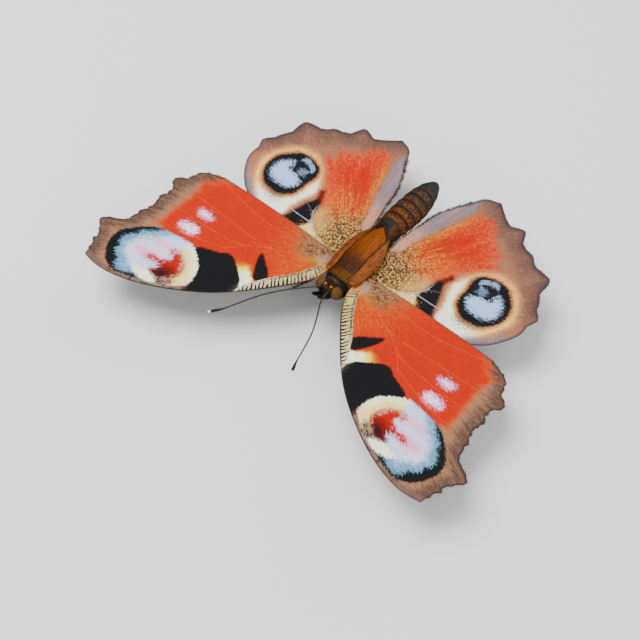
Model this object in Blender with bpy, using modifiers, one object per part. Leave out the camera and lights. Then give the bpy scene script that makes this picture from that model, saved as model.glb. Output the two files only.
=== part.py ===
"""A peacock butterfly at life size, wings spread flat, standing on its four walking legs.

Sizes and places are in millimetres, measured from the plane of the wings and the middle of the
body, and each mesh is turned into metres when its object is made. The insect faces -Y, its left side
is at +X and the floor under its feet is z = 0.
"""

import math

import bmesh
import bpy
from mathutils import Vector
from mathutils.geometry import delaunay_2d_cdt, intersect_point_line

MM = 0.001
GAP = 0.3
SIDES = {"left": 1, "right": -1}

# Stance
WING_HEIGHT = 6.5

# Wings: thickness of the membrane and over a vein, how finely they are divided, how far the hindwing
# drops under the forewing and rises to its inner edge, and how round the tips of the teeth are
MEMBRANE = 0.5
VEIN_THICKNESS = 0.85
RIDGE_HALF_WIDTH = 0.4
EDGE_STEP = 0.8
VEIN_STEP = 2.4
FIELD_STEP = 2.8
CURVE_STEP = 0.1
OVERLAP_DROP = 0.95
OVERLAP_EDGE = 0.7
OVERLAP_RISE = 3.2
INNER_RISE = 0.65
INNER_RISE_X = (8.0, 3.0)
INNER_RISE_Y = (4.0, 10.0)
VEIN_CLEARANCE = 0.36
FIELD_CLEARANCE = 0.98
TOOTH_ROUNDING = 0.22

# Forewing: the smooth edge from the shoulder round to the body, then the teeth at the vein ends
FOREWING_COSTA = (
    (2.1, -2.3),
    (2.35, -3.9),
    (4.6, -7.5),
    (10.4, -13.8),
    (17.7, -18.2),
    (22.4, -19.45),
    (25.1, -19.15),
)
FOREWING_TERMEN = (
    (25.1, -19.15),
    (25.6, -17.2),
    (25.2, -12.9),
    (24.25, -8.6),
    (24.1, -5.0),
    (23.2, -0.8),
    (20.6, 0.5),
)
FOREWING_DORSUM = ((20.6, 0.5), (15.0, 0.65), (8.0, 0.6), (2.5, 0.35))
FOREWING_TEETH = (
    ((26.1, -16.6), 0.8),
    ((27.5, -13.95), 2.0),
    ((24.75, -10.0), 0.8),
    ((24.55, -6.9), 0.9),
    ((25.1, -3.65), 1.3),
)

# Hindwing: its front edge lies under the forewing
HINDWING_COSTA = ((2.6, -0.9), (8.0, -1.8), (14.0, -0.2), (18.3, 1.8), (20.6, 5.2), (20.4, 9.0))
HINDWING_TERMEN = ((20.4, 9.0), (19.5, 11.1), (17.5, 13.9), (13.5, 16.4), (10.2, 17.9), (7.7, 19.85))
HINDWING_DORSUM = ((7.7, 19.85), (6.0, 19.0), (4.7, 16.6), (3.0, 13.0), (2.5, 10.0), (2.0, 7.4))
HINDWING_TEETH = (
    ((21.15, 8.35), 1.3),
    ((19.9, 10.35), 0.7),
    ((18.9, 14.1), 1.9),
    ((15.3, 15.7), 1.0),
    ((12.4, 18.25), 1.5),
)

# Veins, each from its stem to just inside the edge
FOREWING_STEMS = {
    "radial": ((2.9, -1.7), (6.0, -5.8), (9.5, -10.4), (12.5, -12.6), (13.6, -11.6)),
    "cubital": ((2.9, -1.2), (8.6, -4.0), (11.5, -5.8), (13.0, -7.6)),
    "anal": ((2.9, -0.7), (8.0, -1.4), (14.0, -1.3), (19.8, -0.5)),
}
FOREWING_BRANCHES = {
    "R1": ((6.0, -5.8), (9.6, -11.9)),
    "R4": ((12.5, -12.6), (18.5, -16.8), (24.4, -18.6)),
    "R5": ((12.5, -12.6), (18.6, -15.3), (25.2, -16.5)),
    "M1": ((13.6, -11.6), (19.5, -13.4), (26.5, -13.9)),
    "M2": ((13.6, -11.6), (18.6, -11.6), (24.2, -11.8)),
    "M3": ((13.0, -7.6), (18.0, -9.1), (24.0, -10.0)),
    "CuA1": ((11.5, -5.8), (17.0, -6.7), (23.8, -6.9)),
    "CuA2": ((8.6, -4.0), (16.0, -4.1), (24.2, -3.7)),
}
HINDWING_STEMS = {
    "subcostal": ((3.2, 0.0), (7.5, 0.4), (12.5, 0.2), (17.6, 2.0)),
    "radial": ((3.2, 1.0), (7.9, 2.3), (9.4, 4.2)),
    "cubital": ((3.2, 1.9), (6.2, 5.2), (8.8, 8.0), (9.9, 7.6)),
    "anal": ((3.0, 2.8), (4.9, 9.5), (6.6, 15.0), (7.4, 19.1)),
    "inner": ((2.9, 3.6), (3.5, 8.5), (4.4, 13.0), (5.0, 15.8)),
}
HINDWING_BRANCHES = {
    "Rs": ((7.9, 2.3), (14.0, 2.2), (20.1, 5.0)),
    "M1": ((9.4, 4.2), (15.0, 6.4), (20.4, 8.4)),
    "M2": ((9.9, 7.6), (14.6, 9.3), (19.3, 10.3)),
    "M3": ((9.9, 7.6), (14.2, 11.2), (18.2, 13.7)),
    "CuA1": ((8.8, 8.0), (11.9, 12.2), (15.0, 15.2)),
    "CuA2": ((6.2, 5.2), (9.2, 12.0), (12.1, 17.6)),
}

# Body: along it, the height of its middle, its half width and its half height
BODY = (
    (-3.4, -0.05, 1.2, 1.1),
    (-2.9, -0.1, 1.45, 1.25),
    (-2.1, -0.3, 1.8, 1.5),
    (-1.0, -0.45, 1.95, 1.65),
    (0.5, -0.4, 2.05, 2.0),
    (2.2, -0.4, 2.1, 2.15),
    (4.0, -0.2, 1.9, 1.9),
    (5.4, 0.1, 1.6, 1.6),
    (6.3, 0.35, 1.38, 1.38),
    (7.4, 0.45, 1.6, 1.55),
    (9.0, 0.35, 1.72, 1.65),
    (10.8, 0.15, 1.8, 1.75),
    (13.0, 0.1, 1.72, 1.68),
    (14.7, 0.2, 1.4, 1.38),
    (16.0, 0.25, 0.92, 0.92),
    (16.75, 0.25, 0.45, 0.45),
    (16.98, 0.25, 0.12, 0.12),
)
NECK = (-3.1, -2.65)
COLLAR = (-2.35, -1.2)
THORAX = (-0.9, 5.9)
ABDOMEN = (6.2, 16.98)
ABDOMEN_RINGS = 8
RING_GROOVE = 0.06
GROOVE_SHARE = 0.25
BODY_SIDES = 24

# Raised pad on the back, ending in a point behind: how far it reaches from the top, and how it narrows
PAD = (-0.9, 5.9)
PAD_DEG = 40
PAD_RISE = 0.14
PAD_TAPER = 2.2
PAD_TIP = 0.25

# Flap over each wing root: from front to back, how far round the body it reaches, and its depth
TEGULA = (-1.5, 4.7)
TEGULA_INNER_DEG = 37
TEGULA_OUTER_DEG = 69
TEGULA_DEPTH = 0.5
TEGULA_ROWS = 12
TEGULA_LEAN_DEG = 10
TEGULA_END = 0.06
TEGULA_SECTION = ((-1, 0), (-1, 0.6), (-0.4, 1), (0.4, 1), (1, 0.6), (1, 0), (0, 0))

# Head
HEAD_MIDDLE = (0, -4.25, 0.03)
HEAD_HALF = (1.25, 1.0, 0.97)
HEAD_SIDE = 0.6
HEAD_BACK = -3.4
EYE_MIDDLE = (1.0, -4.12, 0.0)
EYE_HALF = (0.88, 0.72, 0.88)
PALP = ((0.42, -5.6, 0.15, 0.26), (0.42, -5.88, 0.5, 0.26), (0.43, -6.3, 1.05, 0.22), (0.44, -6.65, 1.6, 0.1))
PALP_STEP = 0.35
ANTENNA = (
    (0.56, -5.0, 0.95, 0.28),
    (0.72, -5.4, 1.25, 0.25),
    (1.46, -7.4, 2.4, 0.25),
    (2.6, -9.4, 2.95, 0.25),
    (3.84, -11.8, 3.4, 0.25),
    (4.75, -14.4, 3.85, 0.26),
    (5.35, -16.3, 4.2, 0.27),
    (5.7, -17.1, 4.45, 0.35),
    (5.95, -17.7, 4.65, 0.37),
    (6.1, -18.1, 4.8, 0.22),
)
ANTENNA_STEP = 0.9
TONGUE_MIDDLE = (0, -3.95, -1.7)
TONGUE_RADIUS = 0.46
TONGUE_HALF_THICKNESS = 0.26

# Legs: joints from the body to the claw with the radius there, the walking legs lying along the floor
FORELEG = (
    (0.75, -1.3, -2.5, 0.25),
    (0.8, -2.0, -2.6, 0.27),
    (0.8, -2.9, -2.2, 0.26),
    (0.75, -3.6, -1.65, 0.14),
)
FORELEG_STEP = 0.5
LEG_STEP = 0.6
TOE_HEIGHT = 0.17
MIDLEG = ((1.2, 0.3, -2.6), (1.8, 0.3, -3.0), (4.4, -0.2, -2.6), (5.2, -0.6, None), (6.2, -3.4, None))
HINDLEG = ((1.1, 2.7, -2.65), (1.7, 2.9, -3.0), (4.2, 4.6, -2.6), (5.2, 7.2, None), (5.9, 10.2, None))
# Radii of the walking legs: the joint before, the share of the way to the next one, and the radius there
LEG_RADII = (
    (0, 0.0, 0.36),
    (0, 1.0, 0.36),
    (1, 0.45, 0.42),
    (1, 0.92, 0.3),
    (2, 0.1, 0.3),
    (2, 0.55, 0.3),
    (2, 0.88, 0.26),
    (3, 0.12, 0.26),
    (3, 0.7, 0.26),
    (3, 1.0, 0.21),
)
# Edges sharper than this are shown as edges on lofts and limbs
SHARP_DEG = 50

COLOURS = {
    "wing_red": ((0.72, 0.17, 0.05, 1), 0.75),
    "wing_brown": ((0.36, 0.17, 0.09, 1), 0.75),
    "fur_sienna": ((0.4, 0.16, 0.05, 1), 0.85),
    "fur_gold": ((0.42, 0.2, 0.04, 1), 0.85),
    "fur_brown": ((0.13, 0.06, 0.025, 1), 0.85),
    "black": ((0.02, 0.02, 0.022, 1), 0.6),
    "eye_brown": ((0.2, 0.1, 0.02, 1), 0.25),
}


def clear_scene():
    for old in list(bpy.data.objects):
        bpy.data.objects.remove(old, do_unlink=True)


def make_materials():
    made = {}
    for name, (colour, roughness) in COLOURS.items():
        made[name] = bpy.data.materials.new(name)
        made[name].use_nodes = True
        shader = made[name].node_tree.nodes["Principled BSDF"]
        shader.inputs["Base Color"].default_value = colour
        shader.inputs["Roughness"].default_value = roughness
        shader.inputs["Metallic"].default_value = 0
    return made


def smooth_curve(points, step):
    """Points a step apart on a curve through the given ones, of any number of dimensions."""
    knots = [Vector(point) for point in points]
    knots = [2 * knots[0] - knots[1]] + knots + [2 * knots[-1] - knots[-2]]
    curve = []
    for before, start, end, after in zip(knots, knots[1:], knots[2:], knots[3:]):
        gaps = [max((b - a).length, 1e-6) ** 0.5 for a, b in ((before, start), (start, end), (end, after))]
        leave = (start - before) / gaps[0] - (end - before) / (gaps[0] + gaps[1]) + (end - start) / gaps[1]
        reach = (end - start) / gaps[1] - (after - start) / (gaps[1] + gaps[2]) + (after - end) / gaps[2]
        leave, reach = leave * gaps[1], reach * gaps[1]
        count = max(1, round((end - start).length / step))
        for number in range(count):
            t = number / count
            curve.append(
                (2 * t**3 - 3 * t**2 + 1) * start
                + (t**3 - 2 * t**2 + t) * leave
                + (3 * t**2 - 2 * t**3) * end
                + (t**3 - t**2) * reach
            )
    return curve + [knots[-2]]


BODY_CURVE = smooth_curve(BODY, CURVE_STEP)


def body_at(y):
    """Height of the body's middle, its half width and half height at a place along it."""
    for start, end in zip(BODY_CURVE, BODY_CURVE[1:]):
        if y <= end[0]:
            share = (y - start[0]) / (end[0] - start[0])
            return (start + (end - start) * max(share, 0))[1:]
    return BODY_CURVE[-1][1:]


def body_side(y, z):
    """How far out the body's side is at a place along it and a height."""
    middle, half_width, half_height = body_at(y)
    return half_width * math.sqrt(max(0.05, 1 - ((z - middle) / half_height) ** 2))


def tooth_shape(distance):
    """Height of a tooth, from 1 at its tip to 0 at distance 1: a cone with a rounded tip."""
    if distance >= 1:
        return 0
    edge = math.hypot(1, TOOTH_ROUNDING)
    return (edge - math.hypot(distance, TOOTH_ROUNDING)) / (edge - TOOTH_ROUNDING)


def wing_edge(stretches, teeth):
    """The wing's outline, clockwise from its shoulder, with its teeth, an edge step between points."""
    curve, corners = [], []
    for stretch in stretches:
        corners.append(len(curve))
        curve += smooth_curve(stretch, CURVE_STEP)[:-1]
    curve.append(Vector(stretches[-1][-1]))
    corners.append(len(curve) - 1)
    along = [0]
    for start, end in zip(curve, curve[1:]):
        along.append(along[-1] + (end - start).length)
    places = [min(range(len(curve)), key=lambda i: (curve[i] - Vector(tip)).length) for tip, _ in teeth]
    toothed = []
    for place, point in enumerate(curve):
        shift = Vector((0, 0))
        for root, (tip, half_width) in zip(places, teeth):
            shift += (Vector(tip) - curve[root]) * tooth_shape(abs(along[place] - along[root]) / half_width)
        toothed.append(point + shift)
    kept = sorted(set(corners + places))
    chosen = []
    for first, last in zip(kept, kept[1:]):
        count = max(1, round((along[last] - along[first]) / EDGE_STEP))
        chosen += [first + round((last - first) * number / count) for number in range(count)]
    return [toothed[place] for place in chosen + [kept[-1]]]


def root_edge(start_y, end_y, height):
    """The wing's edge along the body, from its hind end forward."""
    count = max(1, round(abs(end_y - start_y) / EDGE_STEP))
    ys = [start_y + (end_y - start_y) * number / count for number in range(count + 1)]
    return [Vector((body_side(y, height) + GAP, y)) for y in ys]


def divided(points, step):
    """The straight line through the points, cut into lengths of about a step."""
    line = []
    for start, end in zip(points, points[1:]):
        start, end = Vector(start), Vector(end)
        count = max(1, round((end - start).length / step))
        line += [start.lerp(end, number / count) for number in range(count)]
    return line + [Vector(points[-1])]


def distance_to(point, lines):
    nearest = math.inf
    for line in lines:
        for start, end in zip(line, line[1:]):
            foot, share = intersect_point_line(point, start, end)
            foot = foot.to_2d() if 0 <= share <= 1 else (start if share < 0 else end)
            nearest = min(nearest, (point - foot).length)
    return nearest


def inside(point, outline):
    crossings = False
    for start, end in zip(outline, outline[1:] + outline[:1]):
        if (start.y > point.y) != (end.y > point.y):
            if point.x < start.x + (end.x - start.x) * (point.y - start.y) / (end.y - start.y):
                crossings = not crossings
    return crossings


def wing_mesh(outline, veins):
    """Flat points and triangles of a wing, and which of the points are on a vein."""
    rim = outline + outline[:1]
    free = []
    for name, line in veins.items():
        others = [other for key, other in veins.items() if key != name]
        for before, here, after in zip(line, line[1:], line[2:]):
            across = (after - before).orthogonal().normalized() * RIDGE_HALF_WIDTH
            for spot in (here + across, here - across):
                clear = min(distance_to(spot, near) for near in (others, [rim], [free + free]))
                if clear > VEIN_CLEARANCE and inside(spot, outline):
                    free.append(spot)
    lines = list(veins.values()) + [rim]
    front = min(point.y for point in outline)
    back = max(point.y for point in outline)
    width = max(point.x for point in outline)
    for row in range(int(front / FIELD_STEP), int(back / FIELD_STEP) + 1):
        for column in range(int(width / FIELD_STEP) + 1):
            spot = Vector(((column + 0.5 * (row % 2)) * FIELD_STEP, row * FIELD_STEP))
            if inside(spot, outline) and distance_to(spot, lines) > FIELD_CLEARANCE:
                free.append(spot)
    points, edges = list(outline), []
    for line in veins.values():
        first = len(points)
        points += line
        edges += [(place, place + 1) for place in range(first, len(points) - 1)]
    last_vein = len(points)
    points += free
    flat, _, faces, sources, _, _ = delaunay_2d_cdt(points, edges, [list(range(len(outline)))], 1, 1e-4)
    on_vein = [any(len(outline) <= source < last_vein for source in group) for group in sources]
    return flat, faces, on_vein


def forewing_height(x, y):
    """The forewing lies level in the wing plane."""
    return 0.0


def ease(share):
    share = min(max(share, 0), 1)
    return share * share * (3 - 2 * share)


def ease_between(value, ends):
    start, end = ends
    return ease((value - start) / (end - start))


def hindwing_height(x, y):
    """Below the forewing where they overlap, level behind it and rising to the inner edge."""
    drop = OVERLAP_DROP * (1 - ease((y - OVERLAP_EDGE) / OVERLAP_RISE))
    return INNER_RISE * ease_between(x, INNER_RISE_X) * ease_between(y, INNER_RISE_Y) - drop


def new_object(name, bm, side, material, to_floor=False):
    """An object from a mesh in millimetres, put on its side of the body and in its place in metres."""
    for vert in bm.verts:
        vert.co = (vert.co + Vector((0, MIDDLE_Y, WING_HEIGHT))) * MM
        vert.co.x *= side
        if to_floor:
            vert.co.z = max(vert.co.z, 0)
    if side < 0:
        bmesh.ops.reverse_faces(bm, faces=bm.faces)
    mesh = bpy.data.meshes.new(name)
    bm.to_mesh(mesh)
    bm.free()
    mesh.materials.append(material)
    made = bpy.data.objects.new(name, mesh)
    COLLECTION.objects.link(made)
    return made


def add_wing(name, outline, veins, height, side, material):
    lines = {vein: divided(points, VEIN_STEP) for vein, points in veins.items()}
    flat, faces, on_vein = wing_mesh(outline, lines)
    bm = bmesh.new()
    verts = [bm.verts.new((point.x, point.y, height(point.x, point.y))) for point in flat]
    for face in faces:
        bm.faces.new([verts[corner] for corner in face])
    bmesh.ops.recalc_face_normals(bm, faces=bm.faces)
    wing = new_object(name, bm, side, material)
    ridges = wing.vertex_groups.new(name="veins")
    ridges.add([place for place, ridge in enumerate(on_vein) if ridge], 1.0, "REPLACE")
    shell = wing.modifiers.new("thickness", "SOLIDIFY")
    shell.thickness = VEIN_THICKNESS * MM
    shell.offset = 0
    shell.vertex_group = "veins"
    shell.thickness_vertex_group = MEMBRANE / VEIN_THICKNESS


def add_loft(name, rings, side, material):
    """A closed solid through rings of as many points each, in order along it."""
    bm = bmesh.new()
    rows = [[bm.verts.new(point) for point in ring] for ring in rings]
    for before, after in zip(rows, rows[1:]):
        for place in range(len(before)):
            following = (place + 1) % len(before)
            bm.faces.new((before[place], before[following], after[following], after[place]))
    bm.faces.new(rows[0][::-1])
    bm.faces.new(rows[-1])
    bmesh.ops.recalc_face_normals(bm, faces=bm.faces)
    made = new_object(name, bm, side, material)
    made.data.shade_smooth()
    made.data.set_sharp_from_angle(angle=math.radians(SHARP_DEG))
    return made


def pad_swell(y, turn):
    """How much the pad raises the body at a place along it and an angle from its top."""
    share = (y - PAD[0]) / (PAD[1] - PAD[0])
    if not 0 <= share <= 1:
        return 1
    reach = math.radians(PAD_DEG) * min(1, PAD_TAPER * (1 - share) + PAD_TIP)
    return 1 + PAD_RISE * ease(2 * (1 - abs(turn) / reach)) * ease(5 * share)


def body_ring(y, swell=1.0):
    middle, half_width, half_height = body_at(y)
    ring = []
    for number in range(BODY_SIDES):
        turn = 2 * math.pi * number / BODY_SIDES - math.pi
        out = swell * pad_swell(y, turn)
        ring.append((out * half_width * math.sin(turn), y, middle + out * half_height * math.cos(turn)))
    return ring


def add_body(name, span, count, material, rings=0):
    """A length of the body, with shallow grooves between its rings where it has any."""
    front, back = span
    sections = []
    for number in range(count + 1):
        share = number / count
        groove = RING_GROOVE * (1 - ease(rings * share % 1 / GROOVE_SHARE)) if rings else 0
        sections.append(body_ring(front + (back - front) * share, 1 - groove))
    add_loft(name, sections, 1, material)


def add_tegula(side_name, side, material):
    """The flap of long scales that lies over the wing root, a gap above the body."""
    front, back = TEGULA
    sections = []
    for number in range(TEGULA_ROWS + 1):
        share = number / TEGULA_ROWS
        y = front + (back - front) * share
        middle, half_width, half_height = body_at(y)
        full = math.sqrt(max(TEGULA_END, 1 - (2 * share - 1) ** 4))
        centre = (TEGULA_INNER_DEG + TEGULA_OUTER_DEG) / 2 - TEGULA_LEAN_DEG * share
        spread = (TEGULA_OUTER_DEG - TEGULA_INNER_DEG) / 2 * full
        ring = []
        for turn, lift in TEGULA_SECTION:
            angle = math.radians(centre + turn * spread)
            out = GAP + TEGULA_DEPTH * lift * (0.5 + 0.5 * full)
            x, z = (half_width + out) * math.sin(angle), middle + (half_height + out) * math.cos(angle)
            ring.append((x, y, z))
        sections.append(ring)
    add_loft("tegula_" + side_name, sections, side, material)


def ellipsoid(middle, half, cuts):
    """A rounded solid, flat where each cut leaves only the side that its direction points away from."""
    bm = bmesh.new()
    bmesh.ops.create_uvsphere(bm, u_segments=16, v_segments=10, radius=1)
    bmesh.ops.scale(bm, vec=half, verts=bm.verts)
    bmesh.ops.translate(bm, vec=middle, verts=bm.verts)
    for place, direction in cuts:
        whole = bm.verts[:] + bm.edges[:] + bm.faces[:]
        cut = bmesh.ops.bisect_plane(bm, geom=whole, plane_co=place, plane_no=direction, clear_outer=True)
        rim = [piece for piece in cut["geom_cut"] if isinstance(piece, bmesh.types.BMEdge)]
        bmesh.ops.edgeloop_fill(bm, edges=rim)
    bmesh.ops.recalc_face_normals(bm, faces=bm.faces)
    return bm


def add_head(materials):
    cuts = (((HEAD_SIDE, 0, 0), (1, 0, 0)), ((-HEAD_SIDE, 0, 0), (-1, 0, 0)), ((0, HEAD_BACK, 0), (0, 1, 0)))
    new_object("head", ellipsoid(HEAD_MIDDLE, HEAD_HALF, cuts), 1, materials["fur_brown"])
    for side_name, side in SIDES.items():
        cut = (((HEAD_SIDE + GAP, 0, 0), (-1, 0, 0)),)
        new_object("eye_" + side_name, ellipsoid(EYE_MIDDLE, EYE_HALF, cut), side, materials["eye_brown"])
        add_limb("palp_" + side_name, PALP, PALP_STEP, side, materials["black"])
        add_limb("antenna_" + side_name, ANTENNA, ANTENNA_STEP, side, materials["black"])


def add_limb(name, joints, step, side, material, to_floor=False):
    """A round limb along a smooth curve through joints that each give a place and a radius."""
    points = smooth_curve(joints, step)
    bend = bpy.data.curves.new(name, "CURVE")
    bend.dimensions = "3D"
    bend.twist_mode = "Z_UP"
    bend.bevel_depth = 1
    bend.bevel_resolution = 2
    bend.use_fill_caps = True
    line = bend.splines.new("POLY")
    line.points.add(len(points) - 1)
    for spot, point in zip(line.points, points):
        spot.co = (*point[:3], 1)
        spot.radius = point[3]
    guide = bpy.data.objects.new(name, bend)
    COLLECTION.objects.link(guide)
    mesh = bpy.data.meshes.new_from_object(guide.evaluated_get(bpy.context.evaluated_depsgraph_get()))
    bpy.data.objects.remove(guide)
    bm = bmesh.new()
    bm.from_mesh(mesh)
    bmesh.ops.remove_doubles(bm, verts=bm.verts, dist=1e-3)
    bmesh.ops.recalc_face_normals(bm, faces=bm.faces)
    made = new_object(name, bm, side, material, to_floor)
    made.data.shade_smooth()
    made.data.set_sharp_from_angle(angle=math.radians(SHARP_DEG))
    bpy.data.meshes.remove(mesh)


def walking_leg(joints):
    """A leg's places and radii, over its hip, bend, knee and ankle, and along the floor to the claw."""
    floor = TOE_HEIGHT - WING_HEIGHT
    joints = [Vector((x, y, floor if z is None else z)) for x, y, z in joints]
    return [(*joints[joint].lerp(joints[joint + 1], share), radius) for joint, share, radius in LEG_RADII]


def add_legs(materials):
    for side_name, side in SIDES.items():
        add_limb("foreleg_" + side_name, FORELEG, FORELEG_STEP, side, materials["fur_brown"])
        add_limb("midleg_" + side_name, walking_leg(MIDLEG), LEG_STEP, side, materials["fur_brown"], True)
        add_limb("hindleg_" + side_name, walking_leg(HINDLEG), LEG_STEP, side, materials["fur_brown"], True)


def add_tongue(material):
    """The coiled tongue under the head, as one round disc on its edge."""
    bm = bmesh.new()
    bmesh.ops.create_cone(
        bm,
        cap_ends=True,
        segments=14,
        radius1=TONGUE_RADIUS,
        radius2=TONGUE_RADIUS,
        depth=2 * TONGUE_HALF_THICKNESS,
    )
    bmesh.ops.rotate(bm, verts=bm.verts, matrix=Vector((0, 0, 1)).rotation_difference((1, 0, 0)).to_matrix())
    bmesh.ops.translate(bm, vec=TONGUE_MIDDLE, verts=bm.verts)
    new_object("proboscis", bm, 1, material)


def add_wings(fore_outline, hind_outline, materials):
    fore_veins = FOREWING_STEMS | FOREWING_BRANCHES
    hind_veins = HINDWING_STEMS | HINDWING_BRANCHES
    for side_name, side in SIDES.items():
        upper, lower = "forewing_" + side_name, "hindwing_" + side_name
        add_wing(upper, fore_outline, fore_veins, forewing_height, side, materials["wing_red"])
        add_wing(lower, hind_outline, hind_veins, hindwing_height, side, materials["wing_brown"])


clear_scene()
COLLECTION = bpy.data.collections.new("peacock_butterfly")
bpy.context.scene.collection.children.link(COLLECTION)

FORE_OUTLINE = wing_edge((FOREWING_COSTA, FOREWING_TERMEN, FOREWING_DORSUM), FOREWING_TEETH)
FORE_OUTLINE = FORE_OUTLINE[:-1] + root_edge(FOREWING_DORSUM[-1][1], FOREWING_COSTA[0][1], 0)[:-1]
HIND_OUTLINE = wing_edge((HINDWING_COSTA, HINDWING_TERMEN, HINDWING_DORSUM), HINDWING_TEETH)
HIND_OUTLINE = HIND_OUTLINE[:-1] + root_edge(HINDWING_DORSUM[-1][1], HINDWING_COSTA[0][1], 0)[:-1]
FRONT = min(point.y for point in FORE_OUTLINE)
BACK = max(point.y for point in HIND_OUTLINE)
MIDDLE_Y = -(FRONT + BACK) / 2

MATERIALS = make_materials()
add_wings(FORE_OUTLINE, HIND_OUTLINE, MATERIALS)
add_body("neck", NECK, 2, MATERIALS["black"])
add_body("collar", COLLAR, 3, MATERIALS["fur_gold"])
add_body("thorax", THORAX, 14, MATERIALS["fur_gold"])
add_body("abdomen", ABDOMEN, 4 * ABDOMEN_RINGS, MATERIALS["fur_brown"], ABDOMEN_RINGS)
for SIDE_NAME, SIDE in SIDES.items():
    add_tegula(SIDE_NAME, SIDE, MATERIALS["fur_sienna"])
add_head(MATERIALS)
add_tongue(MATERIALS["black"])
add_legs(MATERIALS)
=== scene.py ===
"""The looks of a life-size peacock butterfly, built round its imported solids.

Sizes and places are in millimetres from the plane of the wings and the middle of the body, and each
mesh is turned into metres in the frame's own place when its object is made. The insect faces -Y and
its left side is at +X. Left and right pieces share one shape, mirrored.
"""

import math

import bmesh
import bpy
import numpy as np
from mathutils import Matrix, Vector
from mathutils.geometry import delaunay_2d_cdt


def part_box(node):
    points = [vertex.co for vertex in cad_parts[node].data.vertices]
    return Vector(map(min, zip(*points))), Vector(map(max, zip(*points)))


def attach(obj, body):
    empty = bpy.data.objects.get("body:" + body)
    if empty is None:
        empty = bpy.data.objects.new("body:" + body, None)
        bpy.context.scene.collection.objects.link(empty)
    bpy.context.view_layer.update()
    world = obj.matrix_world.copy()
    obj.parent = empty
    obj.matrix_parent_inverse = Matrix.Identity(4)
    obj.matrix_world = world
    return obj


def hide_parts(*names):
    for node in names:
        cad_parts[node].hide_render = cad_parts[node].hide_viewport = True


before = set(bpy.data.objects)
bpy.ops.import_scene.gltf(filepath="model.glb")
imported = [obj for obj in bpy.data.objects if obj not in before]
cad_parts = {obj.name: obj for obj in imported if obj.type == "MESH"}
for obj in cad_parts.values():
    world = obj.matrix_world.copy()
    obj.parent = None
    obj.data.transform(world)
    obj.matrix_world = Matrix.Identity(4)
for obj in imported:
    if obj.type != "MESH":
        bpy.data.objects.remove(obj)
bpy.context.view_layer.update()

MM = 0.001
SIDES = {"left": 1, "right": -1}
HEAD_BACK = -3.4
WING_HEIGHT = (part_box("forewing_left")[0][2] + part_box("forewing_left")[1][2]) / 2 / MM
MIDDLE_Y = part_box("head")[1][1] / MM - HEAD_BACK

# Camera, in millimetres from the middle of the wing plane
CAMERA_PLACE = (58.14, -81.95, 135.42)
CAMERA_RIGHT = (0.7669, 0.6410, 0.0317)
CAMERA_UP = (-0.5432, 0.6219, 0.5641)
LENS = 80
SENSOR = 36

# Wings: how thick the membrane is, how far the veins stand out and how finely it is divided
MEMBRANE = 0.1
EDGE_THICKNESS = 0.05
VEIN_RISE = 0.07
VEIN_WIDTH = 0.13
RIDGE_END = 0.3
UNDER_RIDGE = 0.8
PLEAT = 0.07
EDGE_STEP = 0.16
FIELD_STEP = 0.24
FIELD_CLEARANCE = 0.108
VEIN_STEP = 0.35
VEIN_CLEARANCE = 0.156
CURVE_STEP = 0.08
MARK_STEP = 0.15
TOOTH_ROUNDING = 0.22

# How the wings lie: the forewing's swell, the hindwing below it and rising to the inner edge
FOREWING_BOW = 0.06
OVERLAP_DROP = 0.42
OVERLAP_EDGE = 0.5
OVERLAP_RISE = 4.0
INNER_RISE = 0.55
INNER_RISE_X = (8.0, 5.0)
INNER_RISE_Y = (4.0, 6.0)

FOREWING_COSTA = (
    (1.7, -1.9), (2.2, -3.9), (4.5, -7.5), (10.3, -13.8), (17.6, -18.15), (22.4, -19.4), (25.1, -19.15),
)
FOREWING_TERMEN = (
    (25.1, -19.15), (25.6, -17.2), (25.2, -12.9), (24.25, -8.6), (24.1, -5.0), (23.2, -0.8), (20.6, 0.5),
)
FOREWING_DORSUM = ((20.6, 0.5), (15.0, 0.65), (8.0, 0.6), (1.5, 0.3))
FOREWING_ROOT = ((1.5, 0.3), (1.4, -0.8), (1.7, -1.9))
FOREWING_TEETH = (
    ((26.1, -16.6), 0.8),
    ((27.5, -13.95), 2.0),
    ((24.75, -10.0), 0.8),
    ((24.55, -6.9), 0.9),
    ((25.1, -3.65), 1.3),
)
HINDWING_COSTA = ((1.5, -0.5), (8.0, -1.6), (14.2, -0.4), (18.4, 1.75), (20.65, 5.2), (20.45, 9.0))
HINDWING_TERMEN = ((20.45, 9.0), (19.5, 11.15), (17.5, 13.95), (13.5, 16.4), (10.2, 17.9), (7.7, 19.85))
HINDWING_DORSUM = ((7.7, 19.85), (6.0, 19.0), (4.75, 16.6), (3.1, 13.0), (2.5, 10.0), (2.0, 7.4), (1.75, 5.6))
HINDWING_ROOT = ((1.75, 5.6), (1.3, 3.5), (1.5, -0.5))
HINDWING_TEETH = (
    ((21.15, 8.35), 1.3),
    ((19.95, 10.35), 0.7),
    ((18.95, 14.1), 1.9),
    ((15.35, 15.75), 1.0),
    ((12.45, 18.25), 1.5),
)

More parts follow.
